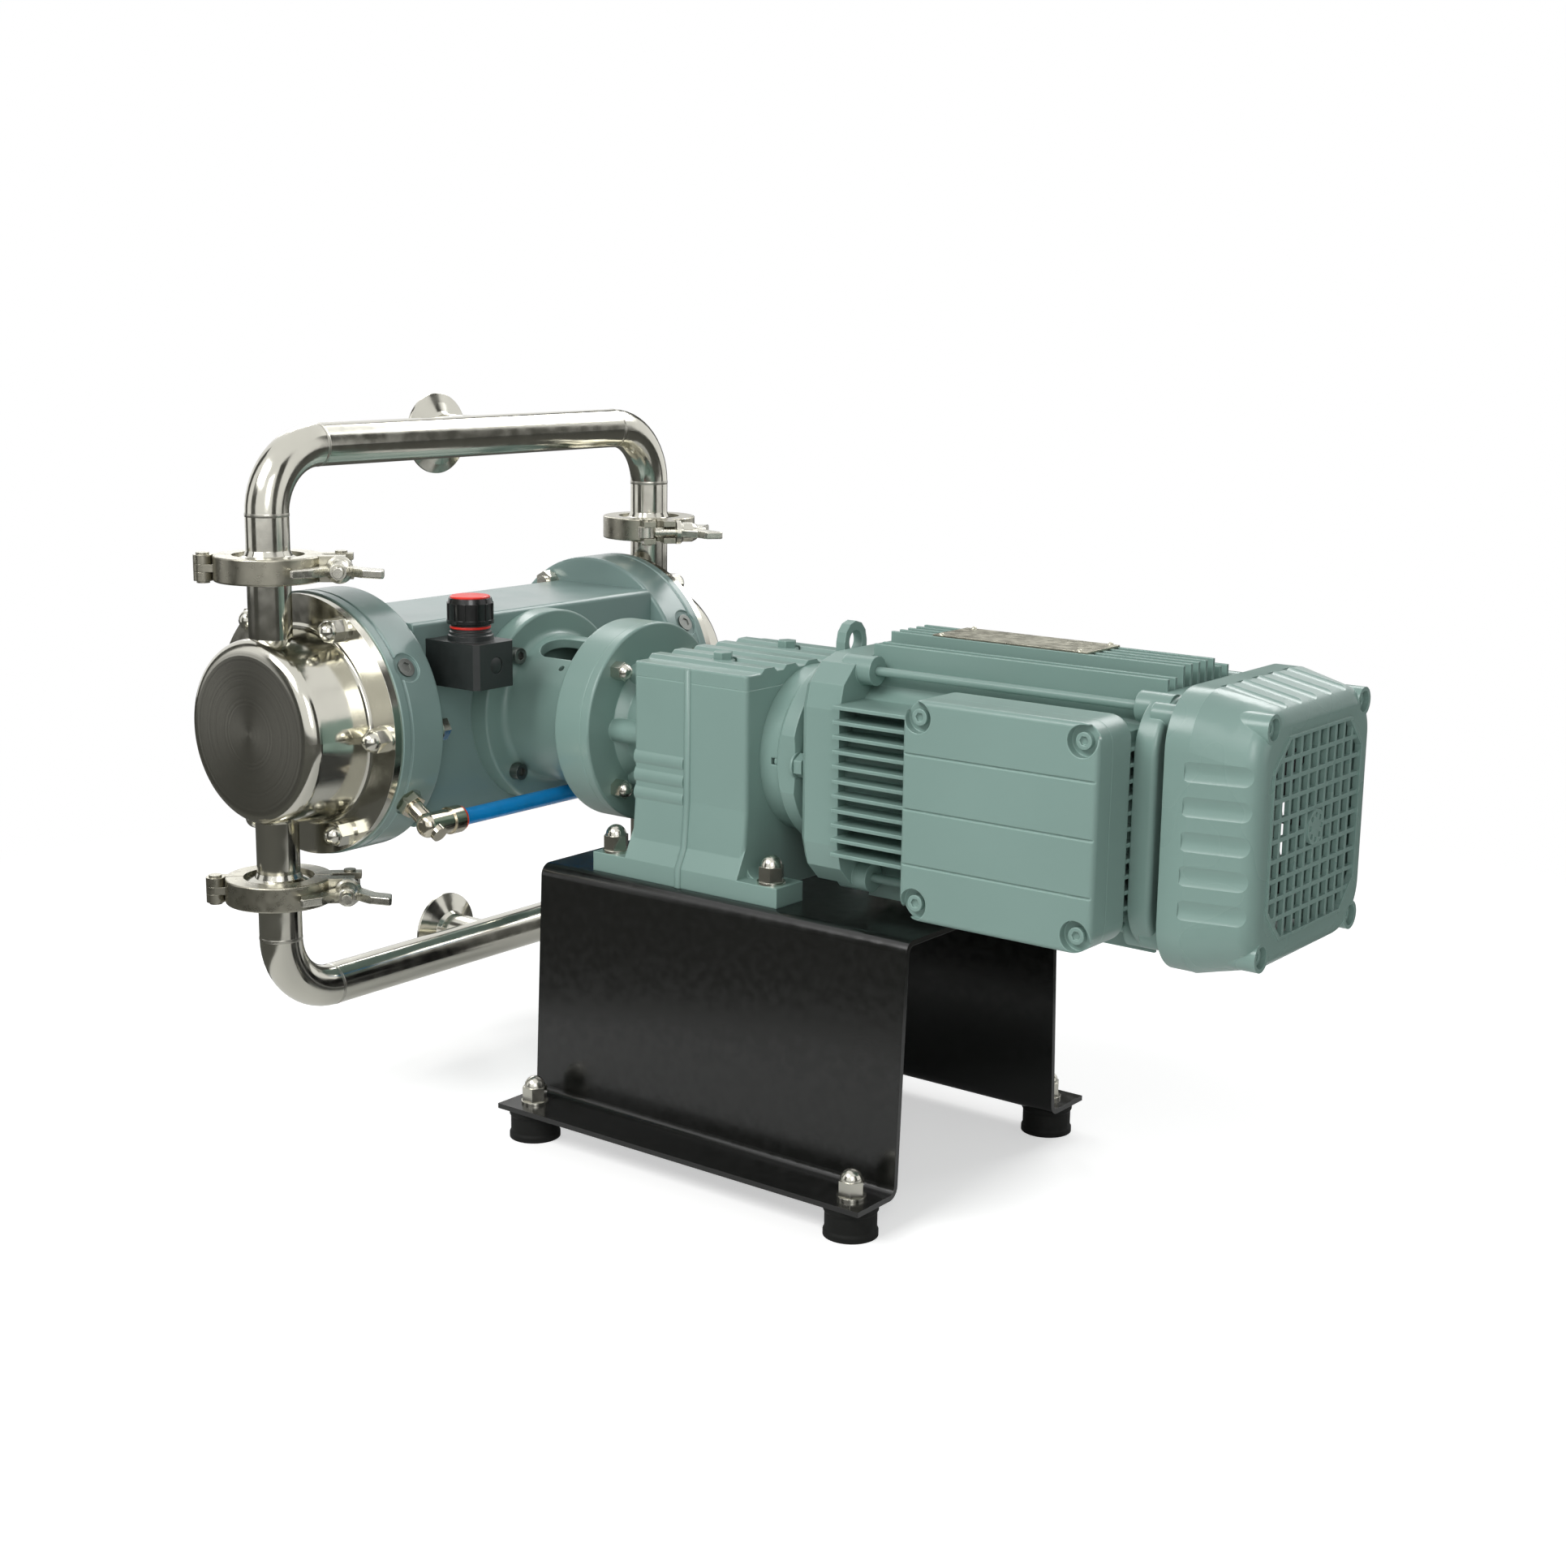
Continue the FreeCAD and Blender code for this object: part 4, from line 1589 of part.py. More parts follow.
def clamp_half(name, side):
    """One clamp half about local Z: half a ring, a forked lug at +X and part of the hinge at -X."""
    high, reach = "clamp_height/2", "clamp_radius + 10"

    def level(low, top):
        """The lower end of a Y span that lies between two distances from the parting plane."""
        return low if side > 0 else "-(%s)" % top

    span_at = ("-(%s)" % reach, level("0.6", "0.6 + " + reach), "-clamp_height")
    span = box(name + "_span", ("2*(%s)" % reach, reach, "2*clamp_height"), span_at)
    ring_part = common(name + "_ring", clamp_ring(name + "_turned"), span)
    end = "clamp_bolt + 7" if side > 0 else "clamp_bolt + 3.5"
    start = "clamp_bolt - 6.7" if side > 0 else "clamp_bolt - 4"
    lug_size = (end + " - 27", "clamp_lug_y - 3", "clamp_height")
    lug = box(name + "_lug", lug_size, (27, level("3", "clamp_lug_y"), "-" + high))
    slot = box(name + "_slot", (30, "clamp_lug_y", 7.6), (start, level("2", "clamp_lug_y + 2"), -3.8))
    bore = rod(name + "_hinge_bore", 2.55, 20, ("-clamp_hinge", 0, -10))
    if side < 0:
        knuckle = rod(name + "_knuckle", 5.5, 4.4, ("-clamp_hinge", 0, -2.2))
        web = box(name + "_knuckle_web", ("clamp_hinge - 28", 4.9, 4.4), ("-clamp_hinge", -5.5, -2.2))
        return cut(name, fuse(name + "_solid", [ring_part, lug, knuckle, web]), [slot, bore])
    pieces = [ring_part, lug]
    ear_height = high + " - 2.4"
    for way in (-1, 1):
        low = 2.4 if way > 0 else "-" + high
        pieces.append(rod("%s_ear_%d" % (name, way + 1), 5.5, ear_height, ("-clamp_hinge", 0, low)))
        web_size = ("clamp_hinge - 28", 5.5, ear_height)
        pieces.append(box("%s_ear_web_%d" % (name, way + 1), web_size, ("-clamp_hinge", 0.6, low)))
    forked = cut(name + "_forked", fuse(name + "_solid", pieces), [slot, bore])
    return fuse(name, [forked] + headed_pin(name + "_pin", ("clamp_bolt", "clamp_pin_y"), 3.6, 1.2))


def headed_pin(name, at, head_radius, head):
    """A pin through a clamp, with a low head on each of its faces."""
    high = "clamp_height/2"
    return [
        rod(name + "_shank", 2.5, "clamp_height + 2", at + ("-%s - 1" % high,)),
        rod(name + "_head_low", head_radius, head, at + ("-%s - %g" % (high, head),)),
        rod(name + "_head_high", head_radius, head, at + (high,)),
    ]


def clamps():
    """Four clamps, each with two halves, a hinge pin, a swing bolt and a wing nut."""
    pin = fuse("hinge_pin", headed_pin("hinge_pin", ("-clamp_hinge", 0), 3.8, 1.3))
    fixed = [clamp_half("pinned_half", 1), clamp_half("slotted_half", -1), pin]
    bolt, nut = swing_bolt(), wing_nut()
    sets = []
    for name, at, turn in clamp_spots():
        placed = doc.addObject("Part::Compound", "clamp_" + name)
        placed.Links = fixed
        sets.append(place(placed, at, turn))
        for kind, source in (("swing_bolt_", bolt), ("wing_nut_", nut)):
            piece = group(kind + name, [source])
            place(piece, at, turn)
    group("clamp_halves", sets)


def swing_bolt():
    """Eye bolt about the clamp pin, its shank towards local -Y."""
    eye = rod("bolt_eye", 6, 7, ("clamp_bolt", "clamp_pin_y", -3.5))
    shank_at = ("clamp_bolt", "clamp_pin_y - 3.5", 0)
    shank = rod("bolt_shank", "m6_radius", "clamp_pin_y + clamp_lug_y + nut_gap + 17", shank_at, "-y")
    bore = rod("bolt_eye_bore", "2.5 + fit", 9, ("clamp_bolt", "clamp_pin_y", -4.5))
    return cut("swing_bolt", fuse("bolt_solid", [eye, shank]), [bore])


def wing_nut():
    """Wing nut: a stepped hub and two wings that lean away from the clamp."""
    face = "clamp_lug_y + nut_gap"
    profile = [
        ("m6_radius + fit", 0), (8, 0), (8, 3), (6.6, 4.5), (6.6, 11), (5.4, 13.5), (4.6, 14.5),
        ("m6_radius + fit", 14.5),
    ]
    hub = turned("nut_hub", profile, ("clamp_bolt", "-(%s)" % face, 0), "-y")
    wings = []
    for side in (-1, 1):
        body = new_body("nut_wing_%d" % (side + 1), ("clamp_bolt", "-(%s)" % face, 0))
        points = [
            (5, 2.5), (9.5, 2.5), (17, 12), (24.5, 15.5), (26, 17), (26, 26), (24.5, 27.5), (14, 22.5), (6, 13),
            (5, 12),
        ]
        sketch = outline(body, "XY", [[("%d*(%g)" % (side, x), "-(%g)" % y) for x, y in points]], "-wing_thick/2")
        wing = pad(body, sketch, "wing_thick")
        soften(body, wing, 0.9, lambda e: not along(e, "z") and abs(e.CenterOfMass.x) > 10)
        wings.append(body)
    bore = rod("nut_bore", "m6_radius + fit", 40, ("clamp_bolt", "-(%s) + 2" % face, 0), "-y")
    return cut("wing_nut", fuse("nut_solid", [hub] + wings), [bore])


def elbow_fittings():
    """Two elbows: a stem with a hexagon on the disc's port, and an arm with sockets for tube and collar."""
    degrees = -num("fitting_angle")
    x, z = beside("port_seat", degrees)
    cx, cz = beside("fitting_reach", degrees)
    run, arm, end = "fitting_reach - port_seat", "fitting_radius", "fitting_arm + fitting_collar"
    stem = [
        (0, -8), (4.8, -8), (4.8, 0), (5.4, 0), (5.4, run), (5, run), (5, run + " + 9.2"), (0, run + " + 9.2"),
    ]
    back, socket, seat = "-%s - 0.4" % arm, "air_tube_radius + fit", "air_tube_radius + 1.8"
    body = [
        (0, back), (arm, back), (arm, "fitting_arm"), (arm + " + 1", "fitting_arm"), (arm + " + 1", end),
        (seat, end), (seat, end + " - 2"), (socket, end + " - 2"), (socket, end + " - socket_depth"),
        (0, end + " - socket_depth"),
    ]
    sides = []
    for side, name in ((-1, "near"), (1, "far")):
        y, inward = "%d*fitting_y" % side, "y" if side < 0 else "-y"
        branch = turned(name + "_elbow_arm", body, (cx, y, cz), inward)
        soften(branch, branch.Tip, 5, lambda e: is_ring(e, arm, back))
        pieces = [
            turned(name + "_elbow_stem", stem, (x, y, z), radial(degrees)),
            hexagon(name + "_elbow_hex", 7, 6.5, (x, y, z), radial(degrees)),
            branch,
        ]
        sides.append(fuse(name + "_elbow", pieces))
    group("elbow_fittings", sides)
    air_line(cx, cz)


def air_line(x, z):
    """The two release collars and the tube held between the elbows."""
    bore, neck, end = "air_tube_radius + fit", "air_tube_radius + 1.75", "fitting_arm + fitting_collar"
    collar = [(bore, 0), (neck, 0), (neck, 2.3), (7.4, 2.3), (7.4, 4), (6.6, 4.6), (bore, 4.6)]
    collars = []
    for side, name in ((-1, "near"), (1, "far")):
        at = (x, "%d*(fitting_y - (%s) + 2)" % (side, end), z)
        collars.append(turned(name + "_collar", collar, at, "y" if side < 0 else "-y"))
    group("release_collars", collars)
    reach = "(fitting_y - (%s) + socket_depth)" % end
    inner, outer = "air_tube_radius - 1.5", "air_tube_radius"
    ring("air_tube", inner, outer, "2*" + reach, (x, "-" + reach, z), "y")


def regulator():
    """Small pressure regulator on the pump body: block with collar, spindle, ribbed knob and red cap."""
    width, depth = "regulator_width", "regulator_depth"
    base, top = "axis_height + regulator_top - regulator_height", "axis_height + regulator_top"
    middle = ("block_front + regulator_depth/2", "regulator_y")
    body = new_body("regulator_casting", ("block_front", "regulator_y - regulator_width/2", base))
    corners = [(0, 0), (depth, 0), (depth, width), (0, width)]
    block = pad(body, outline(body, "XY", [corners]), "regulator_height")
    soften(body, block, 3, lambda e: along(e, "z") and e.BoundBox.XMin > 1, "Chamfer")
    neck_profile = [
        (0, -1), (13.6, -1), (13.6, 3), (12.6, 3.6), (12.6, 5), (11.6, 5.6), (11.6, 9.3), (0, 9.3),
    ]
    neck = turned("regulator_neck", neck_profile, middle + (top,))
    bore = rod("spindle_bore", "spindle_radius + fit", 30, middle + (top + " - 8",))
    port_at = ("block_front + regulator_depth - 10", "regulator_y", base + " + regulator_height/2")
    port = rod("regulator_port", 5, 12, port_at, "x")
    cut("regulator_block", fuse("regulator_solid", [body, neck]), [bore, port])
    rod("knob_spindle", "spindle_radius", 26.5, middle + (top + " - 7.5",))
    knob(middle, top + " + 10")


def knob(middle, bottom):
    """Ribbed knob with its cap, on the spindle."""
    barrel_radius, tall = "knob_radius - 0.6", "knob_height"
    shoulder = tall + " - 3"
    profile = [(0, 0), (barrel_radius, 0), (barrel_radius, shoulder), ("knob_radius - 1.4", tall), (0, tall)]
    pieces = [
        turned("knob_barrel", profile, middle + (bottom,)),
        rod("knob_foot", "knob_radius", 2.2, middle + (bottom,)),
    ]
    for i in range(12):
        rib = box("knob_rib_%d" % i, ("knob_radius", 1.6, shoulder), (0, 0, 0))
        turn = Rotation(Vector(0, 0, 1), 30 * i)
        way = turn.multVec(Vector(0, -0.8, 0))
        spot = ("%s + %g" % (middle[0], way.x), "%s + %g" % (middle[1], way.y), bottom)
        pieces.append(place(rib, spot, turn))
    tools = [
        rod("knob_skirt_room", "knob_radius - 1.7", 5.5, middle + (bottom + " - 1",)),
        rod("knob_bore", "spindle_radius + fit", 13, middle + (bottom + " - 1",)),
    ]
    cut("regulator_knob", fuse("knob_solid", pieces), tools)
    cap = [(0, 0), (11.7, 0), (11.7, 0.8), (11, 1.2), (0, 1.2)]
    turned("knob_cap", cap, middle + (bottom + " + knob_height",))


NODES = [
    "stand", "rubber_feet", "stainless_nuts", "gear_case", "gear_cover", "motor_adapter", "output_shaft",
    "output_wheel", "intermediate_shaft", "intermediate_wheel", "bearings", "seals", "stator_housing", "stator_winding",
    "front_endshield", "rear_endshield", "rotor", "fan", "fan_guard", "motor_screws", "tie_rods", "terminal_box",
    "terminal_cover", "terminal_board", "nameplate", "lantern", "socket_screws", "coupling", "eccentric_shaft",
    "body_block", "crosshead", "near_disc", "far_disc", "diaphragms", "diaphragm_plates", "near_head", "far_head",
    "head_bolts", "regulator_block", "knob_spindle", "regulator_knob", "knob_cap", "elbow_fittings",
    "release_collars", "air_tube", "upper_manifold", "lower_manifold", "clamp_halves",
]
for place_name in ("near_suction", "near_discharge", "far_suction", "far_discharge"):
    NODES += [kind + "_" + place_name for kind in ("swing_bolt", "wing_nut", "ball")]


def build():
    stand()
    rubber_feet()
    stainless_nuts()
    gear_case()
    gear_cover()
    gear_train()
    output_shaft()
    bearings()
    motor_adapter()
    front_endshield()
    rear_endshield()
    stator_housing()
    stator_winding()
    rotor()
    fan()
    fan_guard()
    tie_rods()
    motor_screws()
    terminal_box()
    terminal_cover()
    terminal_board()
    nameplate()
    lantern()
    socket_screws()
    coupling()
    eccentric_shaft()
    body_block()
    crosshead()
    near_disc()
    mirrored("far_disc", doc.getObject("near_disc"))
    diaphragms()
    diaphragm_plates()
    near_head()
    mirrored("far_head", doc.getObject("near_head"))
    head_bolts()
    manifold("upper_manifold", 1)
    manifold("lower_manifold", -1)
    valves()
    clamps()
    elbow_fittings()
    regulator()


def export():
    """Check every object, then write one file for each node."""
    doc.recompute()
    faulty = [item.Name for item in doc.Objects if "Invalid" in item.State or "Error" in item.State]
    if faulty:
        raise RuntimeError("not valid: " + ", ".join(faulty))
    os.makedirs("parts", exist_ok=True)
    for name in NODES:
        found = doc.getObject(name)
        if found is None or found.Shape.isNull() or not found.Shape.isValid():
            raise RuntimeError("no valid shape for " + name)
        found.Shape.exportStep("parts/%s.step" % name)
    print("wrote %d parts" % len(NODES))


build()
export()
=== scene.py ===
"""Finishes, small fitted details, camera, lamps and floor for a gear-motor-driven double-diaphragm pump.

The file is laid out as an add-on and run as a script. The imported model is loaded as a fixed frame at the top,
and each operator dresses one group of its pieces. Lengths are in metres in the frame's own axes: the drive
shaft runs along X, the two pump heads face -Y and +Y, and Z is up. Values that end in _mm are in millimetres.
"""

import json
import math

import bpy
from bpy.props import FloatProperty, FloatVectorProperty, PointerProperty
from mathutils import Matrix, Vector


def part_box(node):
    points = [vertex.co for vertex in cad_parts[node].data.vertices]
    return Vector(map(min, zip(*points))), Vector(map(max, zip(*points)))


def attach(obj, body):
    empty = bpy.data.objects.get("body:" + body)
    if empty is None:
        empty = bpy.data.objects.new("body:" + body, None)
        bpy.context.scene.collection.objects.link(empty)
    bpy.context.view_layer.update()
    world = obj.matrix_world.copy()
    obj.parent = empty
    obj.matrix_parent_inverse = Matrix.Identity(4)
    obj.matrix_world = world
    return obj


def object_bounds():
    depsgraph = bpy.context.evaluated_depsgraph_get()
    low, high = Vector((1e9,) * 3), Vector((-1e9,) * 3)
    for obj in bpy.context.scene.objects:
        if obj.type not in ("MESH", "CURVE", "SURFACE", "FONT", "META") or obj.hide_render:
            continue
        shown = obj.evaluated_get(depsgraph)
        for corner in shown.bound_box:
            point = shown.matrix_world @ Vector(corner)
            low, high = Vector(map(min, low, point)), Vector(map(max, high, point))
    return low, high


bl_info = {
    "name": "Double Diaphragm Pump Finishes",
    "version": (1, 0, 0),
    "blender": (4, 5, 0),
    "location": "3D View > Sidebar > Pump",
    "description": "Finishes, details and studio for a motor-driven double-diaphragm pump",
    "category": "Object",
}

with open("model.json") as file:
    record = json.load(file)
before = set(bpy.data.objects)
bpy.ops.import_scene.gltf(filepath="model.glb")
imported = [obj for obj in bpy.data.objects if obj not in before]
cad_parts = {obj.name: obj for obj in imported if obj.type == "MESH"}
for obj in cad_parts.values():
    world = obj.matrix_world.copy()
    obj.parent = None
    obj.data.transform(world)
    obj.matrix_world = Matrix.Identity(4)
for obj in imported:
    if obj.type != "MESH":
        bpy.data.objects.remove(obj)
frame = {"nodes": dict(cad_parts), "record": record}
cad_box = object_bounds()

MM = 0.001
WHITE = (1.0, 1.0, 1.0, 1.0)
EVEN = (1.0, 1.0, 1.0)
QUARTER = math.radians(90)

# Blender's noise lies mostly between these two values.
NOISE_SPAN = {"From Min": 0.25, "From Max": 0.75}

# Pipework: one-inch pipe bent to one and a half diameters, with ferrules of 50.5 mm. A dressed weld seam has
# a flat crest of this half width.
PIPE_RADIUS = 12.7 * MM
PIPE_BEND = 3 * PIPE_RADIUS
FERRULE_RADIUS = 25.25 * MM
WELD_CREST_HALF = 0.6 * MM

# The heads' flat ends lie this far from the pump's middle plane.
HEAD_FACE = 187 * MM

# Parting bead: it lies this far from the middle of the cover along X, with this section. Its line starts at
# the cover's side, as (out from the middle, down from the cover's top) in mm, and runs down the case to the
# flared foot, as (out from the middle, up from the foot) in mm.
BEAD_SHIFT = -1 * MM
BEAD_BASE_HALF = 2.1 * MM
BEAD_CREST_HALF = 1.7 * MM
BEAD_SINK = 0.2 * MM
BEAD_AT_COVER = ((58.5, 3.0), (60.0, 4.0))
BEAD_AT_FOOT = ((60.1, 49.1), (62.6, 22.6), (68.0, 11.3), (68.0, 0.2))

# Studs at the sides of the motor adapter, of size M8. Their heights are measured out from the flange face
# that the washers lie on.
ADAPTER_FLANGE = 11.9 * MM
STUD_SPREAD = 47 * MM
STUD_RADIUS = 4 * MM
STUD_TOP = 11.2 * MM
STUD_THREAD_START = 7.4 * MM
STUD_THREAD_END = 11 * MM
STUD_THREAD_DEPTH = 0.3 * MM
STUD_PITCH = 1.25 * MM
WASHER_BORE = 4.4 * MM
WASHER_RADIUS = 7.6 * MM
WASHER_TOP = 1.4 * MM
NUT_TOP = 6.9 * MM

# Clamps: how far each side's pair is turned about the pipe. A swing bolt's pin lies this far from the pipe's
# axis, and its thread shows on both sides of the jaw, measured along the bolt from the pin, in mm.
NEAR_CLAMP_TURN = math.radians(45)
FAR_CLAMP_TURN = math.radians(-40)
BOLT_PIN = 41 * MM
BOLT_RADIUS = 3 * MM
BOLT_PITCH = 1 * MM
BOLT_THREADS = ((-1.5, 10.6), (26.4, 31.6))

# Regulator: profiles of (radius, height) in mm, of the ring on the knob's neck and the front face's plug.
LOCK_RING = ((11.6, -2.4), (12.1, -2.2), (12.1, -1.0), (11.6, -0.8))
PLUG = ((0.02, 0.0), (4.7, 0.0), (4.95, -0.25), (4.95, -1.5))
PLUG_SINK = 0.15 * MM
PLUG_RISE = 13.5 * MM

# Stage: lamps as (name, power setting, place, size), and flags as (name, direction in degrees, width).
LAMPS = (
    ("key_softbox", "key_power", (-0.4, -1.7, 1.8), (1.4, 1.0)),
    ("fill_softbox", "fill_power", (1.4, -1.5, 1.1), (0.7, 1.1)),
    ("top_strip", "top_power", (-0.15, 1.7, 1.7), (1.8, 0.7)),
    ("rim_softbox", "rim_power", (-1.7, 0.9, 1.5), (0.6, 1.2)),
)
FLAGS = (
    ("right_flag", -8.0, 1.0),
    ("back_right_flag", 50.0, 0.6),
    ("back_left_flag", 117.0, 1.0),
    ("left_flag", 195.0, 0.8),
    ("front_flag", -118.0, 1.0),
)
FLAG_DISTANCE = 2.3
FLAG_HEIGHT = 2.4
FLOOR_SIZE = (24.0, 24.0)
ROOM_TINT = (0.97, 0.98, 1.0, 1.0)

# The table ring's inner and outer radius, and its height above the paper.
TABLE_RING = (0.42, 3.0, 2 * MM)

# Where the camera sees the paper it glows by this much, and it fades to plain white between these distances.
PAPER_LIFT = 0.5
PAPER_FADE = (0.55, 0.95)


def linear(hex_colour):
    """Turns an sRGB hex colour into the three linear values that Blender's colour properties hold."""
    shares = [int(hex_colour[i:i + 2], 16) / 255 for i in (1, 3, 5)]
    return [s / 12.92 if s <= 0.04045 else ((s + 0.055) / 1.055) ** 2.4 for s in shares]


def tinted(colour, factor):
    """A linear colour made lighter or darker by a factor."""
    return [min(1.0, share * factor) for share in colour]


def rgba(colour):
    """A linear colour with full opacity, as a socket takes it."""
    return (*colour, 1.0)


def per_metre(millimetres):
    """The scale of a texture node whose pattern repeats about every so many millimetres."""
    return 1.0 / (millimetres * MM)


def add(tree, kind, inputs=None, **settings):
    """Adds one shader node. Settings are its own properties, and inputs are its sockets, by name or number,
    each given a value or linked from another node's socket."""
    made = tree.nodes.new("ShaderNode" + kind)
    for name, value in settings.items():
        setattr(made, name, value)
    for socket, value in (inputs or {}).items():
        if isinstance(value, bpy.types.NodeSocket):
            tree.links.new(value, made.inputs[socket])
        else:
            made.inputs[socket].default_value = value
    return made


def new_material(name):
    """An empty node material and its tree."""
    material = bpy.data.materials.new(name)
    material.use_nodes = True
    material.node_tree.nodes.clear()
    return material, material.node_tree


def finish_material(material, shader):
    """Links the shader to the material's output and gives the material back."""
    add(material.node_tree, "OutputMaterial", {"Surface": shader.outputs[0]})
    return material


def grain(tree, size_mm, detail, stretch=EVEN):
    """Soft noise with lumps of about that size, which stays with its piece. It is drawn out along an axis
    where stretch is under 1."""
    place = add(tree, "TexCoord").outputs["Object"]
    stretched = add(tree, "Mapping", {"Vector": place, "Scale": stretch}).outputs[0]
    lumps = {"Vector": stretched, "Scale": per_metre(size_mm), "Detail": detail}
    return add(tree, "TexNoise", lumps).outputs["Fac"]


def mottled(tree, pattern, colour, spread):
    """The colour made a little darker and lighter by a noise pattern."""
    span = {"Value": pattern, **NOISE_SPAN}
    share = add(tree, "MapRange", span, interpolation_type="SMOOTHSTEP").outputs[0]
    dark, light = tinted(colour, 1.0 - spread), tinted(colour, 1.0 + spread)
    return add(tree, "Mix", {0: share, 6: rgba(dark), 7: rgba(light)}, data_type="RGBA").outputs[2]


def edge_wear_and_highlight(tree, rounded, tone, light):
    """The tone with a lighter line along each edge, where the rounded normal leaves the flat one: a painted
    highlight, partly also wear. A turn of under 10 degrees doesn't count, so the facets of a curve stay out of
    it."""
    flat = add(tree, "NewGeometry").outputs["Normal"]
    facing = add(tree, "VectorMath", {0: rounded, 1: flat}, operation="DOT_PRODUCT").outputs["Value"]
    edge = add(tree, "MapRange", {"Value": facing, "From Min": 0.98, "From Max": 0.85}).outputs[0]
    return add(tree, "Mix", {0: edge, 6: tone, 7: rgba(light)}, data_type="RGBA").outputs[2]


def surface(name, colour, tone, relief, gloss, edge_mm, wear_and_highlight=None, stretch=EVEN, shader=None):
    """A material with rounded edges, a drifting tone, fine relief and uneven gloss.

    tone is (lump size, noise detail, spread of the colour) and gloss is (lump size, noise detail, lowest and
    highest roughness). relief is a row of (lump size, noise detail, depth), from coarse to fine, and stretch
    draws it out along an axis. edge_mm is the radius of the rounded edges, and the factor after it lightens
    them, partly as a painted highlight and partly as wear. Sizes and depths are in millimetres. shader holds
    the shader's own plain values."""
    material, tree = new_material(name)
    normal = add(tree, "Bevel", {"Radius": edge_mm * MM}, samples=6).outputs[0]
    size_mm, detail, spread = tone
    base = mottled(tree, grain(tree, size_mm, detail), colour, spread)
    # The lighter line on the edges is a painted highlight, partly also wear.
    if wear_and_highlight:
        base = edge_wear_and_highlight(tree, normal, base, tinted(colour, wear_and_highlight))
    for size_mm, detail, depth_mm in relief:
        height = grain(tree, size_mm, detail, stretch)
        bent = {"Height": height, "Distance": depth_mm * MM, "Strength": 1.0, "Normal": normal}
        normal = add(tree, "Bump", bent).outputs[0]
    size_mm, detail, smooth, rough = gloss
    drift = {"Value": grain(tree, size_mm, detail), **NOISE_SPAN, "To Min": smooth, "To Max": rough}
    sheen = add(tree, "MapRange", drift, interpolation_type="SMOOTHSTEP").outputs[0]
    inputs = {"Base Color": base, "Roughness": sheen, "Normal": normal, **(shader or {})}
    return finish_material(material, add(tree, "BsdfPrincipled", inputs))


def enamel(name, colour, peel_mm, peel_depth_mm, cast_depth_mm, smooth, edge_mm=1.0):
    """Two-pack enamel sprayed on metal. It gives an even semi-gloss coat with orange peel, and a lighter line
    on each edge that is partly thinned, worn paint and partly a painted highlight. Over a casting a little of
    the mould's grain shows through as slow lumps."""
    relief = ((7.0, 3.0, cast_depth_mm), (peel_mm, 2.0, peel_depth_mm))
    gloss = (25.0, 0.0, smooth - 0.02, smooth + 0.03)
    tone = (60.0, 0.0, 0.02)
    return surface(name, colour, tone, relief, gloss, edge_mm, wear_and_highlight=1.5, shader={"IOR": 1.5})


def polished_steel(name, colour, roughness, scratch_depth_mm):
    """Stainless steel polished with a wheel. It gives mirror reflections, a little broken by slow waves and
    by faint buffing lines, which are drawn coarser than they are, so that they show."""
    relief = ((14.0, 1.0, 0.02), (0.9, 2.0, scratch_depth_mm))
    gloss = (9.0, 3.0, roughness * 0.7, roughness * 1.3)
    tone = (30.0, 3.0, 0.03)
    return surface(name, colour, tone, relief, gloss, edge_mm=0.35, shader={"Metallic": 1.0})


def grained_metal(name, colour, roughness, grain_mm, depth_mm, stretch=EVEN):
    """Bare or plated metal as casting, tumbling or cutting leaves it. It gives a soft metallic sheen under a
    matt grain, with edges lightened partly by rubbing and partly as a painted highlight."""
    relief = ((grain_mm, 2.0, depth_mm),)
    gloss = (5.0, 3.0, roughness - 0.05, roughness + 0.06)
    tone = (12.0, 3.0, 0.06)
    shader = {"Metallic": 1.0}
    return surface(name, colour, tone, relief, gloss, edge_mm=0.3, wear_and_highlight=1.2, stretch=stretch, shader=shader)


def polymer(name, colour, roughness, grain_mm, depth_mm, ior, coat=0.0):
    """Moulded plastic, rubber or a baked coat. It gives an even skin with a fine grain, and edges that catch
    a softer light."""
    relief = ((grain_mm, 2.0, depth_mm),)
    gloss = (6.0, 3.0, roughness - 0.05, roughness + 0.05)
    tone = (10.0, 3.0, 0.05)
    shader = {"IOR": ior, "Coat Weight": coat}
    return surface(name, colour, tone, relief, gloss, edge_mm=0.3, wear_and_highlight=1.3, shader=shader)


def head_rings(tree, centre, spacing):
    """Fine-turned rings about a line along Y through the centre, and how far a point lies from the pump's
    middle plane, in metres."""
    place = add(tree, "TexCoord").outputs["Object"]
    shifted = add(tree, "VectorMath", {0: place, 1: centre}, operation="SUBTRACT").outputs[0]
    flat = add(tree, "VectorMath", {0: shifted, 1: (1.0, 0.0, 1.0)}, operation="MULTIPLY").outputs[0]
    radius = add(tree, "VectorMath", {0: flat}, operation="LENGTH").outputs["Value"]
    turn = add(tree, "Math", {0: radius, 1: 1.0 / spacing}, operation="MULTIPLY").outputs[0]
    along = {"W": turn, "Scale": 1.0, "Detail": 4.0}
    rings = add(tree, "TexNoise", along, noise_dimensions="1D").outputs["Fac"]
    side = add(tree, "SeparateXYZ", {0: place}).outputs["Y"]
    out = add(tree, "Math", {0: side}, operation="ABSOLUTE").outputs[0]
    return rings, out


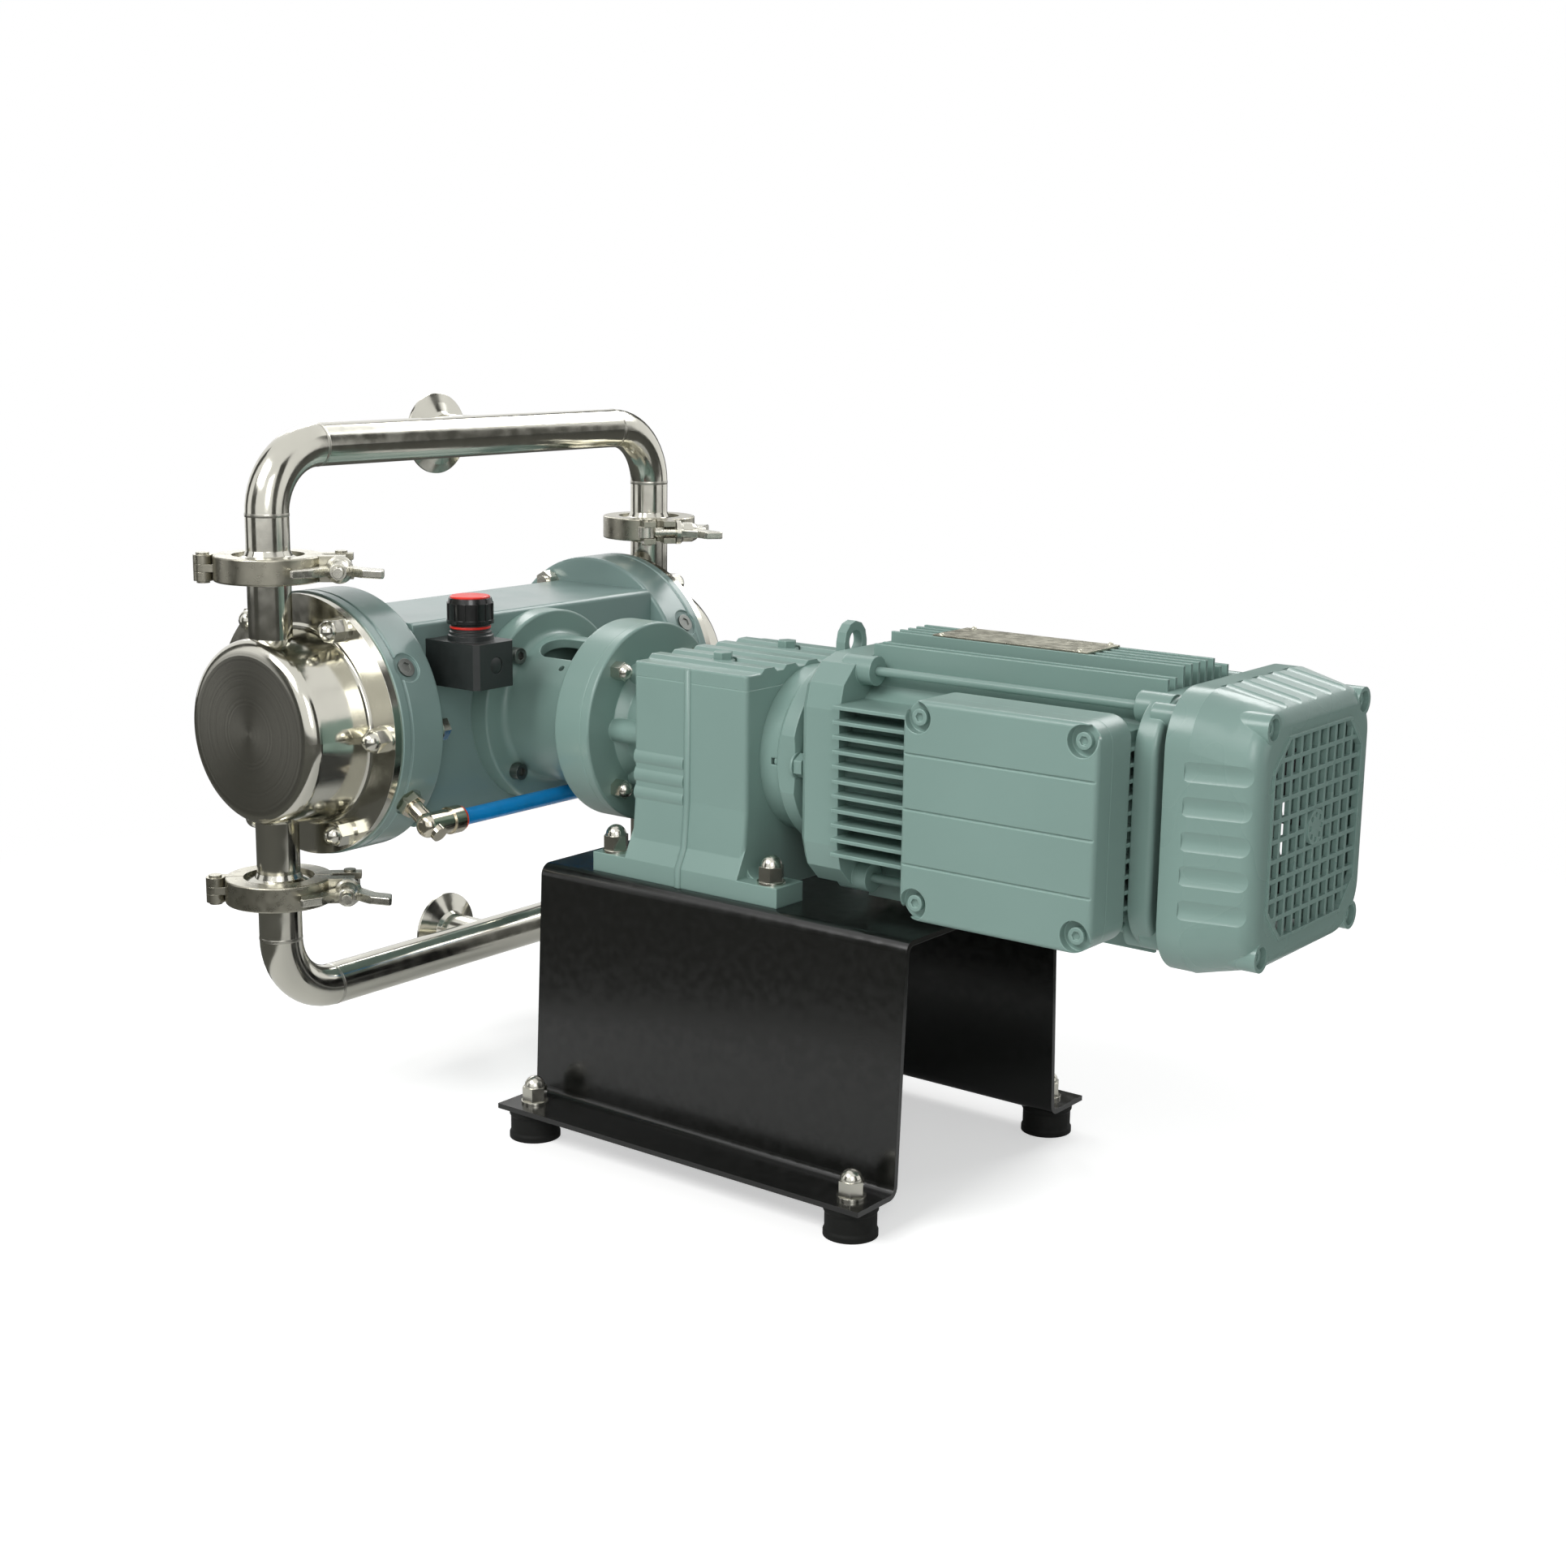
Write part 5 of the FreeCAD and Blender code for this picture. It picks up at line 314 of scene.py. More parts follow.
def turned_head(name, colour, centre, spacing):
    """Stainless head, buffed to a mirror on its side and fine-turned across its flat end. It gives clear
    reflections round the side, and an end painted darker as shade, whose rings spread each reflection into a
    fan. The rings are drawn about ten times as coarse as the tool left them, so that they show."""
    material, tree = new_material(name)
    rings, out = head_rings(tree, centre, spacing)
    edge = {"Value": out, "From Min": HEAD_FACE - 0.6 * MM, "From Max": HEAD_FACE - 0.1 * MM}
    face = add(tree, "MapRange", edge).outputs[0]
    buffed = mottled(tree, grain(tree, 30.0, 3.0), colour, 0.03)
    # The flat end's colour is the same steel painted darker, as shade.
    shaded_rings = mottled(tree, rings, tinted(colour, 0.62), 0.025)
    tone = add(tree, "Mix", {0: face, 6: buffed, 7: shaded_rings}, data_type="RGBA").outputs[2]
    side_drift = {"Value": grain(tree, 9.0, 3.0), **NOISE_SPAN, "To Min": 0.1, "To Max": 0.17}
    side_gloss = add(tree, "MapRange", side_drift, interpolation_type="SMOOTHSTEP").outputs[0]
    face_drift = {"Value": rings, **NOISE_SPAN, "To Min": 0.21, "To Max": 0.26}
    face_gloss = add(tree, "MapRange", face_drift, interpolation_type="SMOOTHSTEP").outputs[0]
    sheen = add(tree, "Mix", {0: face, 2: side_gloss, 3: face_gloss}).outputs[0]
    rounded = add(tree, "Bevel", {"Radius": 0.35 * MM}, samples=6).outputs[0]
    waves = {"Height": grain(tree, 14.0, 1.0), "Distance": 0.015 * MM, "Strength": 1.0, "Normal": rounded}
    shader = add(tree, "BsdfPrincipled", {
        "Base Color": tone,
        "Metallic": 1.0,
        "Roughness": sheen,
        "Normal": add(tree, "Bump", waves).outputs[0],
        "Anisotropic": 0.55,
        "Tangent": add(tree, "Tangent", direction_type="RADIAL", axis="Y").outputs[0],
    })
    return finish_material(material, shader)


def paint(material, *nodes):
    """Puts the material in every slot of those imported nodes."""
    for name in nodes:
        mesh = frame["nodes"][name].data
        if not mesh.materials:
            mesh.materials.append(material)
        for index in range(len(mesh.materials)):
            mesh.materials[index] = material


def nodes_in(slot):
    """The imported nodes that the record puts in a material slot."""
    return [row["node"] for row in frame["record"]["subparts"] if row["material_slot"] == slot]


def box_middle(name):
    """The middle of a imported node's box."""
    low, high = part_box(name)
    return (Vector(low) + Vector(high)) / 2


def joint_rise():
    """How far each ferrule joint lies over or under the pump's axis: halfway between head and manifold."""
    return (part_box("near_head")[1][2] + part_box("upper_manifold")[0][2]) / 2 - box_middle("near_head").z


def pipe_half():
    """How far each upright pipe's axis lies from the pump's middle plane."""
    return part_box("upper_manifold")[1][1] - FERRULE_RADIUS


def turned_faces(profile, place, steps=72):
    """Corners and faces of a turned ring: an open profile of (radius, height) about a placement's local Z."""
    points, faces, rows = [], [], len(profile)
    for step in range(steps):
        turn = 2 * math.pi * step / steps
        for radius, height in profile:
            points.append(place @ Vector((radius * math.cos(turn), radius * math.sin(turn), height)))
        for row in range(rows - 1):
            here, there = step * rows + row, (step + 1) % steps * rows + row
            faces.append((here, there, there + 1, here + 1))
    return points, faces


def thread_faces(radius, depth, pitch, start, end, place, steps=20):
    """Corners and faces of a screw ridge that winds about the local Z of a placement. The ridge's foot is as
    wide as four fifths of the pitch."""
    points, faces = [], []
    count = round(steps * (end - start) / pitch)
    for step in range(count + 1):
        turn = 2 * math.pi * step / steps
        middle = start + pitch * step / steps
        for out, rise in ((0.0, -0.4), (depth, 0.0), (0.0, 0.4)):
            reach, height = radius + out, middle + rise * pitch
            points.append(place @ Vector((reach * math.cos(turn), reach * math.sin(turn), height)))
    for step in range(count):
        for row in range(2):
            here = 3 * step + row
            faces.append((here, here + 3, here + 4, here + 1))
    return points, faces


def in_mm(*profile):
    """A profile of (radius, height) that is written in millimetres."""
    return [(radius * MM, height * MM) for radius, height in profile]


def fitted_piece(name, parts, material, body):
    """One object out of several sets of corners and faces. It moves with a body of the frame."""
    points, faces = [], []
    for part_points, part_faces in parts:
        first = len(points)
        points += part_points
        faces += [tuple(first + corner for corner in face) for face in part_faces]
    mesh = bpy.data.meshes.new(name)
    mesh.from_pydata(points, [], faces)
    mesh.materials.append(material)
    mesh.shade_smooth()
    piece = bpy.data.objects.new(name, mesh)
    bpy.context.scene.collection.objects.link(piece)
    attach(piece, body)
    return piece


def colour_property(name, description, hex_colour):
    """A colour that the panel shows, with an sRGB hex default."""
    return FloatVectorProperty(
        name=name, description=description, subtype="COLOR", min=0.0, max=1.0, default=linear(hex_colour)
    )


def size_property(name, description, size_mm):
    """A length that the panel shows, with a default in millimetres."""
    return FloatProperty(
        name=name, description=description, subtype="DISTANCE", unit="LENGTH", precision=5,
        default=size_mm * MM,
    )


def angle_property(name, description, degrees):
    """An angle that the panel shows."""
    return FloatProperty(name=name, description=description, subtype="ANGLE", default=math.radians(degrees))


def power_property(name, description, watts):
    """A lamp's power that the panel shows."""
    return FloatProperty(name=name, description=description, unit="POWER", min=0.0, default=watts)


class PumpColours(bpy.types.PropertyGroup):
    """The colours of the pump's finishes."""

    casting: colour_property("Casting enamel", "Grey-green enamel on the gear unit and the motor", "#819C94")
    machined: colour_property("Body enamel", "Grey-green enamel on the turned and milled body", "#859D98")
    stainless: colour_property("Stainless", "Polished stainless steel of heads and pipes", "#CFCDC2")
    cast_stainless: colour_property("Cast stainless", "Investment-cast steel of the clamps", "#A9A698")
    powder: colour_property("Powder coat", "Black powder coat on the bent stand", "#111210")
    rubber: colour_property("Rubber", "Black rubber of the buffers", "#151614")
    steel: colour_property("Machined steel", "Bright turned and ground steel inside the drive", "#A3A39D")
    zinc: colour_property("Zinc plate", "Zinc-plated steel of the socket screws, dulled by oil", "#7E817D")
    copper: colour_property("Winding", "Enamelled copper wire of the winding", "#A8552B")
    knob: colour_property("Knob", "Black moulded plastic of the regulator knob", "#141514")
    anodised: colour_property("Anodised", "Black anodised aluminium of the regulator block", "#1E2221")
    cap: colour_property("Cap", "Red moulded cap of the knob", "#F03226")
    collar: colour_property("Release collar", "Orange moulded release collars", "#F04A1A")
    tube: colour_property("Air tube", "Blue extruded polyurethane tube", "#1496E2")
    nickel: colour_property("Nickel", "Nickel plate on the brass elbows", "#D3CCBA")
    seat: colour_property("Seal", "White rubber of the seat gaskets", "#D9D6CC")
    ball: colour_property("Ball", "Black rubber of the valve balls", "#232422")
    diaphragm: colour_property("Diaphragm", "White fluoropolymer face of the diaphragms", "#D5D2C8")
    fan: colour_property("Fan", "Black glass-filled nylon of the fan", "#1B1C1B")
    board: colour_property("Terminal board", "Moulded phenolic of the terminal board", "#3A2F27")
    plate: colour_property("Rating plate", "Bare brushed metal of the rating plate", "#B0AE9E")


class PumpSizes(bpy.types.PropertyGroup):
    """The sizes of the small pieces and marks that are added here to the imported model."""

    seam_rise: size_property("Weld seam rise", "How far a dressed weld seam stands out of the pipe", 0.13)
    seam_half: size_property("Weld seam half width", "Half the width of a dressed weld seam", 1.1)
    thread_depth: size_property("Bolt thread depth", "Depth of the thread on the clamps' bolts", 0.28)
    bead_rise: size_property("Bead rise", "How far the parting bead stands out of the gear case", 1.3)
    ring_spacing: size_property("Ring spacing", "Spacing of the turned rings on the heads' flat ends", 1.3)
    nut_reach: size_property("Adapter nut", "Middle to corner of the painted nuts on the adapter", 7.0)


class StageSettings(bpy.types.PropertyGroup):
    """Where the camera stands and how bright the studio is."""

    camera_place: FloatVectorProperty(
        name="Camera place", description="Where the camera stands", subtype="TRANSLATION", unit="LENGTH",
        default=(0.78282, -1.03232, 0.48891),
    )
    azimuth: angle_property("Azimuth", "Turn of the view from +Y", 37.25)
    pitch: angle_property("Pitch", "How far the camera looks down", 12.09)
    roll: angle_property("Roll", "Roll of the camera", 0.78)
    lens: FloatProperty(
        name="Lens", description="Focal length, on a sensor 36 mm wide", unit="CAMERA", default=52.45
    )
    key_power: power_property("Key", "Power of the large softbox at the left", 34.0)
    fill_power: power_property("Fill", "Power of the softbox behind the camera", 11.0)
    top_power: power_property("Top", "Power of the strip behind and above", 22.0)
    rim_power: power_property("Rim", "Power of the softbox behind the pump", 9.0)
    sky: FloatProperty(
        name="Room light", description="Strength of the room's own light", min=0.0, default=0.23
    )
    paper: colour_property("Paper", "Matt white paper of the floor", "#E4E4E3")
    felt: colour_property("Felt", "Felt of the flags that only reflections show", "#5A5A56")


class PUMP_OT_castings(bpy.types.Operator):
    """Paints the gear unit, motor, lantern and fan guard, and adds the painted bead, studs and nuts"""

    bl_idname = "pump.castings"
    bl_label = "Paint castings"

    def execute(self, context):
        colour = context.scene.pump_colours.casting
        # Enamel on die-cast aluminium looks softly lumpy under its orange peel.
        cast = enamel(
            "enamel_on_die_casting", colour,
            peel_mm=1.6, peel_depth_mm=0.03, cast_depth_mm=0.015, smooth=0.3,
        )
        # Enamel on drawn sheet steel looks flatter, and keeps crisp edges on the thin guard.
        drawn = enamel(
            "enamel_on_drawn_steel", colour,
            peel_mm=2.2, peel_depth_mm=0.03, cast_depth_mm=0.01, smooth=0.28, edge_mm=0.3,
        )
        paint(cast, *nodes_in("grey_paint"))
        paint(drawn, "fan_guard")
        self.parting_bead(cast, context.scene.pump_sizes.bead_rise)
        self.adapter_nuts(cast, context.scene.pump_sizes)
        return {"FINISHED"}

    def parting_bead(self, cast, rise):
        """The raised bead that carries the mould's parting line down the side and the flared foot of the gear
        case, over the case's own rib."""
        low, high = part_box("gear_case")
        middle = (low[1] + high[1]) / 2
        across = box_middle("gear_cover").x + BEAD_SHIFT
        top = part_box("gear_cover")[1][2]
        path = [(reach * MM, top - drop * MM) for reach, drop in BEAD_AT_COVER]
        path += [(reach * MM, low[2] + height * MM) for reach, height in BEAD_AT_FOOT]
        profile = (
            (-BEAD_BASE_HALF, -BEAD_SINK),
            (-BEAD_CREST_HALF, rise),
            (BEAD_CREST_HALF, rise),
            (BEAD_BASE_HALF, -BEAD_SINK),
        )
        parts = []
        for side in (-1, 1):
            points, faces = [], []
            for reach, height in path:
                for x, out in profile:
                    points.append((across + x, middle + side * (reach + out), height))
            for row in range(len(path) - 1):
                for corner in range(3):
                    here = 4 * row + corner
                    faces.append((here, here + 4, here + 5, here + 1)[::side])
            parts.append((points, faces))
        fitted_piece("parting_bead", parts, cast, "base")

    def adapter_nuts(self, cast, sizes):
        """The painted studs, nuts and washers at the sides, between the adapter and the front end shield."""
        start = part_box("motor_adapter")[1][0] - ADAPTER_FLANGE
        level = box_middle("rotor").z
        corners = [(math.cos(math.radians(60 * i)), math.sin(math.radians(60 * i))) for i in range(6)]
        sides = [(i, (i + 1) % 6, 6 + (i + 1) % 6, 6 + i) for i in range(6)]
        end = tuple(range(6, 12))
        parts = []
        for side in (-1, 1):
            place = Matrix.Translation((start, side * STUD_SPREAD, level)) @ Matrix.Rotation(QUARTER, 4, "Y")
            washer = [(WASHER_BORE, WASHER_TOP), (WASHER_RADIUS, WASHER_TOP), (WASHER_RADIUS, 0.0)]
            parts.append(turned_faces(washer, place, 48))
            nut = [
                place @ Vector((sizes.nut_reach * x, sizes.nut_reach * y, height))
                for height in (WASHER_TOP, NUT_TOP) for x, y in corners
            ]
            parts.append((nut, sides + [end]))
            parts.append(turned_faces([(STUD_RADIUS, WASHER_TOP), (STUD_RADIUS, STUD_TOP)], place, 32))
            parts.append(thread_faces(
                STUD_RADIUS, STUD_THREAD_DEPTH, STUD_PITCH, STUD_THREAD_START, STUD_THREAD_END, place
            ))
        piece = fitted_piece("adapter_stud_nuts", parts, cast, "base")
        piece.data.shade_flat()


class PUMP_OT_body(bpy.types.Operator):
    """Paints the milled body block and the turned air discs"""

    bl_idname = "pump.body"
    bl_label = "Paint pump body"

    def execute(self, context):
        colour = context.scene.pump_colours.machined
        # Enamel on milled and turned aluminium looks smoother and glossier than on a casting.
        smooth = enamel(
            "enamel_on_machined_aluminium", colour,
            peel_mm=1.8, peel_depth_mm=0.02, cast_depth_mm=0.0, smooth=0.22,
        )
        paint(smooth, "body_block", "near_disc", "far_disc")
        return {"FINISHED"}


class PUMP_OT_wetted_steel(bpy.types.Operator):
    """Polishes the heads, manifolds and acorn nuts"""

    bl_idname = "pump.wetted_steel"
    bl_label = "Polish heads and pipes"

    def execute(self, context):
        colour = context.scene.pump_colours.stainless
        # Bent tube polished to a mirror shows the whole room along its curves.
        mirror = polished_steel("mirror_polished_stainless", colour, roughness=0.15, scratch_depth_mm=0.004)
        # Turned and lightly polished bolts and nuts show the room with softer edges.
        bright = polished_steel("bright_turned_stainless", colour, roughness=0.2, scratch_depth_mm=0.008)
        # Both ends of the pump are turned about one line, so one material serves both heads.
        spacing = context.scene.pump_sizes.ring_spacing
        turned = turned_head("fine_turned_head", colour, box_middle("near_head"), spacing)
        paint(turned, "near_head", "far_head")
        paint(mirror, "upper_manifold", "lower_manifold")
        paint(bright, "head_bolts", "stainless_nuts")
        return {"FINISHED"}


class PUMP_OT_weld_seams(bpy.types.Operator):
    """Lays the dressed weld seams where the pipe bends meet straight pipe"""

    bl_idname = "pump.weld_seams"
    bl_label = "Lay weld seams"

    def execute(self, context):
        sizes = context.scene.pump_sizes
        colour = tinted(context.scene.pump_colours.stainless, 0.8)
        # A weld dressed with a belt is duller and darker than the pipe beside it.
        seam = polished_steel("dressed_weld_seam", colour, roughness=0.3, scratch_depth_mm=0.03)
        crest = PIPE_RADIUS + sizes.seam_rise
        bead = [
            (PIPE_RADIUS, -sizes.seam_half),
            (crest, -WELD_CREST_HALF),
            (crest, WELD_CREST_HALF),
            (PIPE_RADIUS, sizes.seam_half),
        ]
        middle = box_middle("near_head")
        reach = pipe_half()
        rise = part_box("upper_manifold")[1][2] - FERRULE_RADIUS - middle.z
        for up, name in ((-1, "lower_weld_seams"), (1, "upper_weld_seams")):
            parts = []
            for side in (-1, 1):
                below = Matrix.Translation((middle.x, side * reach, middle.z + up * (rise - PIPE_BEND)))
                beside = Matrix.Translation((middle.x, side * (reach - PIPE_BEND), middle.z + up * rise))
                parts.append(turned_faces(bead, below))
                parts.append(turned_faces(bead, beside @ Matrix.Rotation(QUARTER, 4, "X")))
            fitted_piece(name, parts, seam, "base")
        return {"FINISHED"}


def clamp_places():
    """Name and placement of each clamp: its bolt's pin lies at local +X, and the bolt points to local -Y."""
    middle = box_middle("near_head")
    near_turn = Matrix.Rotation(NEAR_CLAMP_TURN, 4, "Z")
    far_turn = Matrix.Rotation(FAR_CLAMP_TURN, 4, "Z") @ Matrix.Rotation(2 * QUARTER, 4, "X")
    for side, side_name, turn in ((-1, "near", near_turn), (1, "far", far_turn)):
        for up, up_name in ((-1, "suction"), (1, "discharge")):
            at = Matrix.Translation((middle.x, side * pipe_half(), middle.z + up * joint_rise()))
            yield side_name + "_" + up_name, at @ turn


class PUMP_OT_clamps(bpy.types.Operator):
    """Finishes the hinged pipe clamps, their swing bolts and wing nuts, and adds the bolts' threads"""

    bl_idname = "pump.clamps"
    bl_label = "Finish clamps"

    def execute(self, context):
        colours = context.scene.pump_colours
        depth = context.scene.pump_sizes.thread_depth
        # Investment-cast steel, tumbled, has a soft pebbled sheen.
        cast = grained_metal(
            "tumbled_cast_stainless", colours.cast_stainless, roughness=0.3, grain_mm=0.7, depth_mm=0.03
        )
        # Turned steel left satin shows highlights with blurred ends.
        satin = grained_metal(
            "satin_turned_stainless", colours.stainless, roughness=0.26, grain_mm=0.5, depth_mm=0.012
        )
        paint(cast, *nodes_in("cast_stainless"))
        paint(satin, *nodes_in("satin_stainless"))
        for name, place in clamp_places():
            shank = place @ Matrix.Translation((BOLT_PIN, 0, 0)) @ Matrix.Rotation(QUARTER, 4, "X")
            parts = [
                thread_faces(BOLT_RADIUS, depth, BOLT_PITCH, start * MM, end * MM, shank)
                for start, end in BOLT_THREADS
            ]
            fitted_piece("bolt_thread_" + name, parts, satin, "bolt_" + name)
        return {"FINISHED"}


class PUMP_OT_stand(bpy.types.Operator):
    """Coats the bent stand and gives the buffers their rubber"""

    bl_idname = "pump.stand"
    bl_label = "Coat stand"

    def execute(self, context):
        colours = context.scene.pump_colours
        # Baked powder coat on sheet steel looks deep black, with a fine texture in its highlights.
        coat = polymer(
            "fine_texture_powder_coat", colours.powder,
            roughness=0.22, grain_mm=1.1, depth_mm=0.012, ior=1.62,
        )
        # Moulded rubber looks dull, dark grey where light grazes it.
        rubber = polymer(
            "moulded_buffer_rubber", colours.rubber, roughness=0.7, grain_mm=0.8, depth_mm=0.02, ior=1.3
        )
        paint(coat, "stand")
        paint(rubber, "rubber_feet")
        return {"FINISHED"}


class PUMP_OT_regulator(bpy.types.Operator):
    """Finishes the regulator's block, knob and cap, and adds its lock ring and port plug"""

    bl_idname = "pump.regulator"
    bl_label = "Finish regulator"

    def execute(self, context):
        colours = context.scene.pump_colours
        # Black anodised aluminium looks satin, with a faint grain from the cutter.
        black = polymer(
            "black_anodised_aluminium", colours.anodised,
            roughness=0.42, grain_mm=0.5, depth_mm=0.012, ior=1.6,
        )
        # Nylon out of a polished mould is glossy, with a slight waviness.
        gloss = polymer(
            "gloss_moulded_nylon", colours.knob, roughness=0.22, grain_mm=2.0, depth_mm=0.006, ior=1.53
        )
        # The red moulded cap and lock ring are a little duller than the knob.
        red = polymer("red_moulded_cap", colours.cap, roughness=0.35, grain_mm=1.5, depth_mm=0.006, ior=1.5)
        paint(black, "regulator_block")
        paint(gloss, "regulator_knob")
        paint(red, "knob_cap")
        neck = box_middle("knob_spindle")
        neck.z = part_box("regulator_block")[1][2]
        ring = turned_faces(in_mm(*LOCK_RING), Matrix.Translation(neck))
        fitted_piece("lock_ring", [ring], red, "base")
        self.plug(black)
        return {"FINISHED"}

    def plug(self, black):
        """The flush plug of the unused port in the regulator's front face."""
        low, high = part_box("regulator_block")
        at = Vector((high[0] - PLUG_SINK, box_middle("knob_spindle").y, low[2] + PLUG_RISE))
        place = Matrix.Translation(at) @ Matrix.Rotation(QUARTER, 4, "Y")
        fitted_piece("port_plug", [turned_faces(in_mm(*PLUG), place, 48)], black, "base")


class PUMP_OT_air_line(bpy.types.Operator):
    """Finishes the air tube, its elbows and their release collars"""

    bl_idname = "pump.air_line"
    bl_label = "Finish air line"

    def execute(self, context):
        colours = context.scene.pump_colours
        # Extruded polyurethane has a glassy skin, so it takes a thin clear coat.
        tube = polymer(
            "extruded_polyurethane", colours.tube,
            roughness=0.2, grain_mm=3.0, depth_mm=0.01, ior=1.5, coat=0.3,
        )
        # Moulded acetal looks waxy.
        collar = polymer(
            "moulded_acetal_collar", colours.collar, roughness=0.4, grain_mm=1.0, depth_mm=0.006, ior=1.48
        )
        # Nickel plate on turned brass gives a warm, nearly mirror sheen.
        nickel = grained_metal(
            "nickel_plated_brass", colours.nickel, roughness=0.17, grain_mm=0.8, depth_mm=0.006
        )
        paint(tube, "air_tube")
        paint(collar, "release_collars")
        paint(nickel, "elbow_fittings")
        return {"FINISHED"}


class PUMP_OT_drive(bpy.types.Operator):
    """Finishes the shafts, wheels, bearings, coupling and screws"""

    bl_idname = "pump.drive"
    bl_label = "Finish drive"

    def execute(self, context):
        colours = context.scene.pump_colours
        # Turned and ground steel is bright, with a fine satin grain.
        turned = grained_metal(
            "fine_turned_steel", colours.steel, roughness=0.28, grain_mm=0.6, depth_mm=0.01
        )
        # Zinc plate, dulled by oil, looks grey and a little patchy.
        plated = grained_metal(
            "zinc_plated_steel", colours.zinc, roughness=0.33, grain_mm=0.7, depth_mm=0.008
        )
        paint(turned, *nodes_in("machined_steel"))
        paint(plated, *nodes_in("zinc_steel"))
        return {"FINISHED"}


class PUMP_OT_pump_insides(bpy.types.Operator):
    """Finishes the diaphragms, valve balls and seat gaskets"""

    bl_idname = "pump.insides"
    bl_label = "Finish rubber parts"

    def execute(self, context):
        colours = context.scene.pump_colours
        # White rubber, moulded, looks soft and matt.
        seal = polymer(
            "moulded_seal_rubber", colours.seat, roughness=0.55, grain_mm=0.7, depth_mm=0.01, ior=1.5
        )
        # A rubber ball ground to size has a fine, even grain.
        ball = polymer(
            "ground_rubber_ball", colours.ball, roughness=0.5, grain_mm=0.9, depth_mm=0.01, ior=1.5
        )
        # Fluoropolymer skived from a block looks waxy, with faint knife waves.
        white = polymer(
            "skived_fluoropolymer", colours.diaphragm, roughness=0.5, grain_mm=1.2, depth_mm=0.02, ior=1.5
        )
        paint(seal, *nodes_in("seat_rubber"))
        paint(ball, *nodes_in("ball_rubber"))
        paint(white, *nodes_in("diaphragm_rubber"))
        return {"FINISHED"}


class PUMP_OT_motor_insides(bpy.types.Operator):
    """Finishes the winding, fan, terminal board and bare rating plate"""

    bl_idname = "pump.motor_insides"
    bl_label = "Finish motor parts"

    def execute(self, context):
        colours = context.scene.pump_colours
        # Enamelled wire laid in a bundle shows ridges along the winding.
        wire = grained_metal(
            "enamelled_copper_wire", colours.copper,
            roughness=0.3, grain_mm=0.6, depth_mm=0.05, stretch=(0.1, 1.0, 1.0),
        )
        # Glass-filled nylon looks dull and slightly rough.
        nylon = polymer(
            "glass_filled_nylon_fan", colours.fan, roughness=0.5, grain_mm=0.9, depth_mm=0.02, ior=1.5
        )
        # Moulded phenolic is hard and brown, with a soft sheen.
        board = polymer(
            "moulded_phenolic_board", colours.board, roughness=0.45, grain_mm=0.8, depth_mm=0.01, ior=1.5
        )
        # A brushed plate draws each highlight out across its fine lines.
        brushed = grained_metal(
            "brushed_plate", colours.plate,
            roughness=0.32, grain_mm=0.5, depth_mm=0.01, stretch=(0.03, 1.0, 1.0),
        )
        paint(wire, "stator_winding")
        paint(nylon, "fan")
        paint(board, "terminal_board")
        paint(brushed, "nameplate")
        return {"FINISHED"}


def softbox(name, place, target, size, power):
    """A rectangular area lamp that faces its target."""
    lamp = bpy.data.lights.new(name, "AREA")
    lamp.shape = "RECTANGLE"
    lamp.size, lamp.size_y = size
    lamp.energy = power
    holder = bpy.data.objects.new(name, lamp)
    holder.location = place
    holder.rotation_euler = (Vector(target) - Vector(place)).to_track_quat("-Z", "Y").to_euler()
    bpy.context.scene.collection.objects.link(holder)


def card(name, points, faces, material):
    """One flat sheet of the stage, which isn't part of the pump."""
    mesh = bpy.data.meshes.new(name)
    mesh.from_pydata(points, [], faces)
    mesh.materials.append(material)
    made = bpy.data.objects.new(name, mesh)
    bpy.context.scene.collection.objects.link(made)
    return made


def flat_card(name, place, target, size, material):
    """A rectangular card that faces its target, used as the floor or as a dark flag."""
    wide, high = size[0] / 2, size[1] / 2
    points = [(-wide, -high, 0), (wide, -high, 0), (wide, high, 0), (-wide, high, 0)]
    made = card(name, points, [(0, 1, 2, 3)], material)
    made.location = place
    made.rotation_euler = (Vector(target) - Vector(place)).to_track_quat("Z", "Y").to_euler()
    return made


def ring_card(name, inner, outer, height, material, steps=64):
    """A flat ring round the frame's origin, just above the floor."""
    points = []
    for radius in (inner, outer):
        for step in range(steps):
            turn = 2 * math.pi * step / steps
            points.append((radius * math.cos(turn), radius * math.sin(turn), height))
    faces = [(s, steps + s, steps + (s + 1) % steps, (s + 1) % steps) for s in range(steps)]
    return card(name, points, faces, material)


def seen_ray(tree):
    """One for what the camera, a reflection or a clear body shows directly, and nought for light that falls
    on things."""
    path = add(tree, "LightPath").outputs
    shown = {0: path["Is Camera Ray"], 1: path["Is Glossy Ray"]}
    direct = add(tree, "Math", shown, operation="MAXIMUM").outputs[0]
    return add(tree, "Math", {0: direct, 1: path["Is Transmission Ray"]}, operation="MAXIMUM").outputs[0]


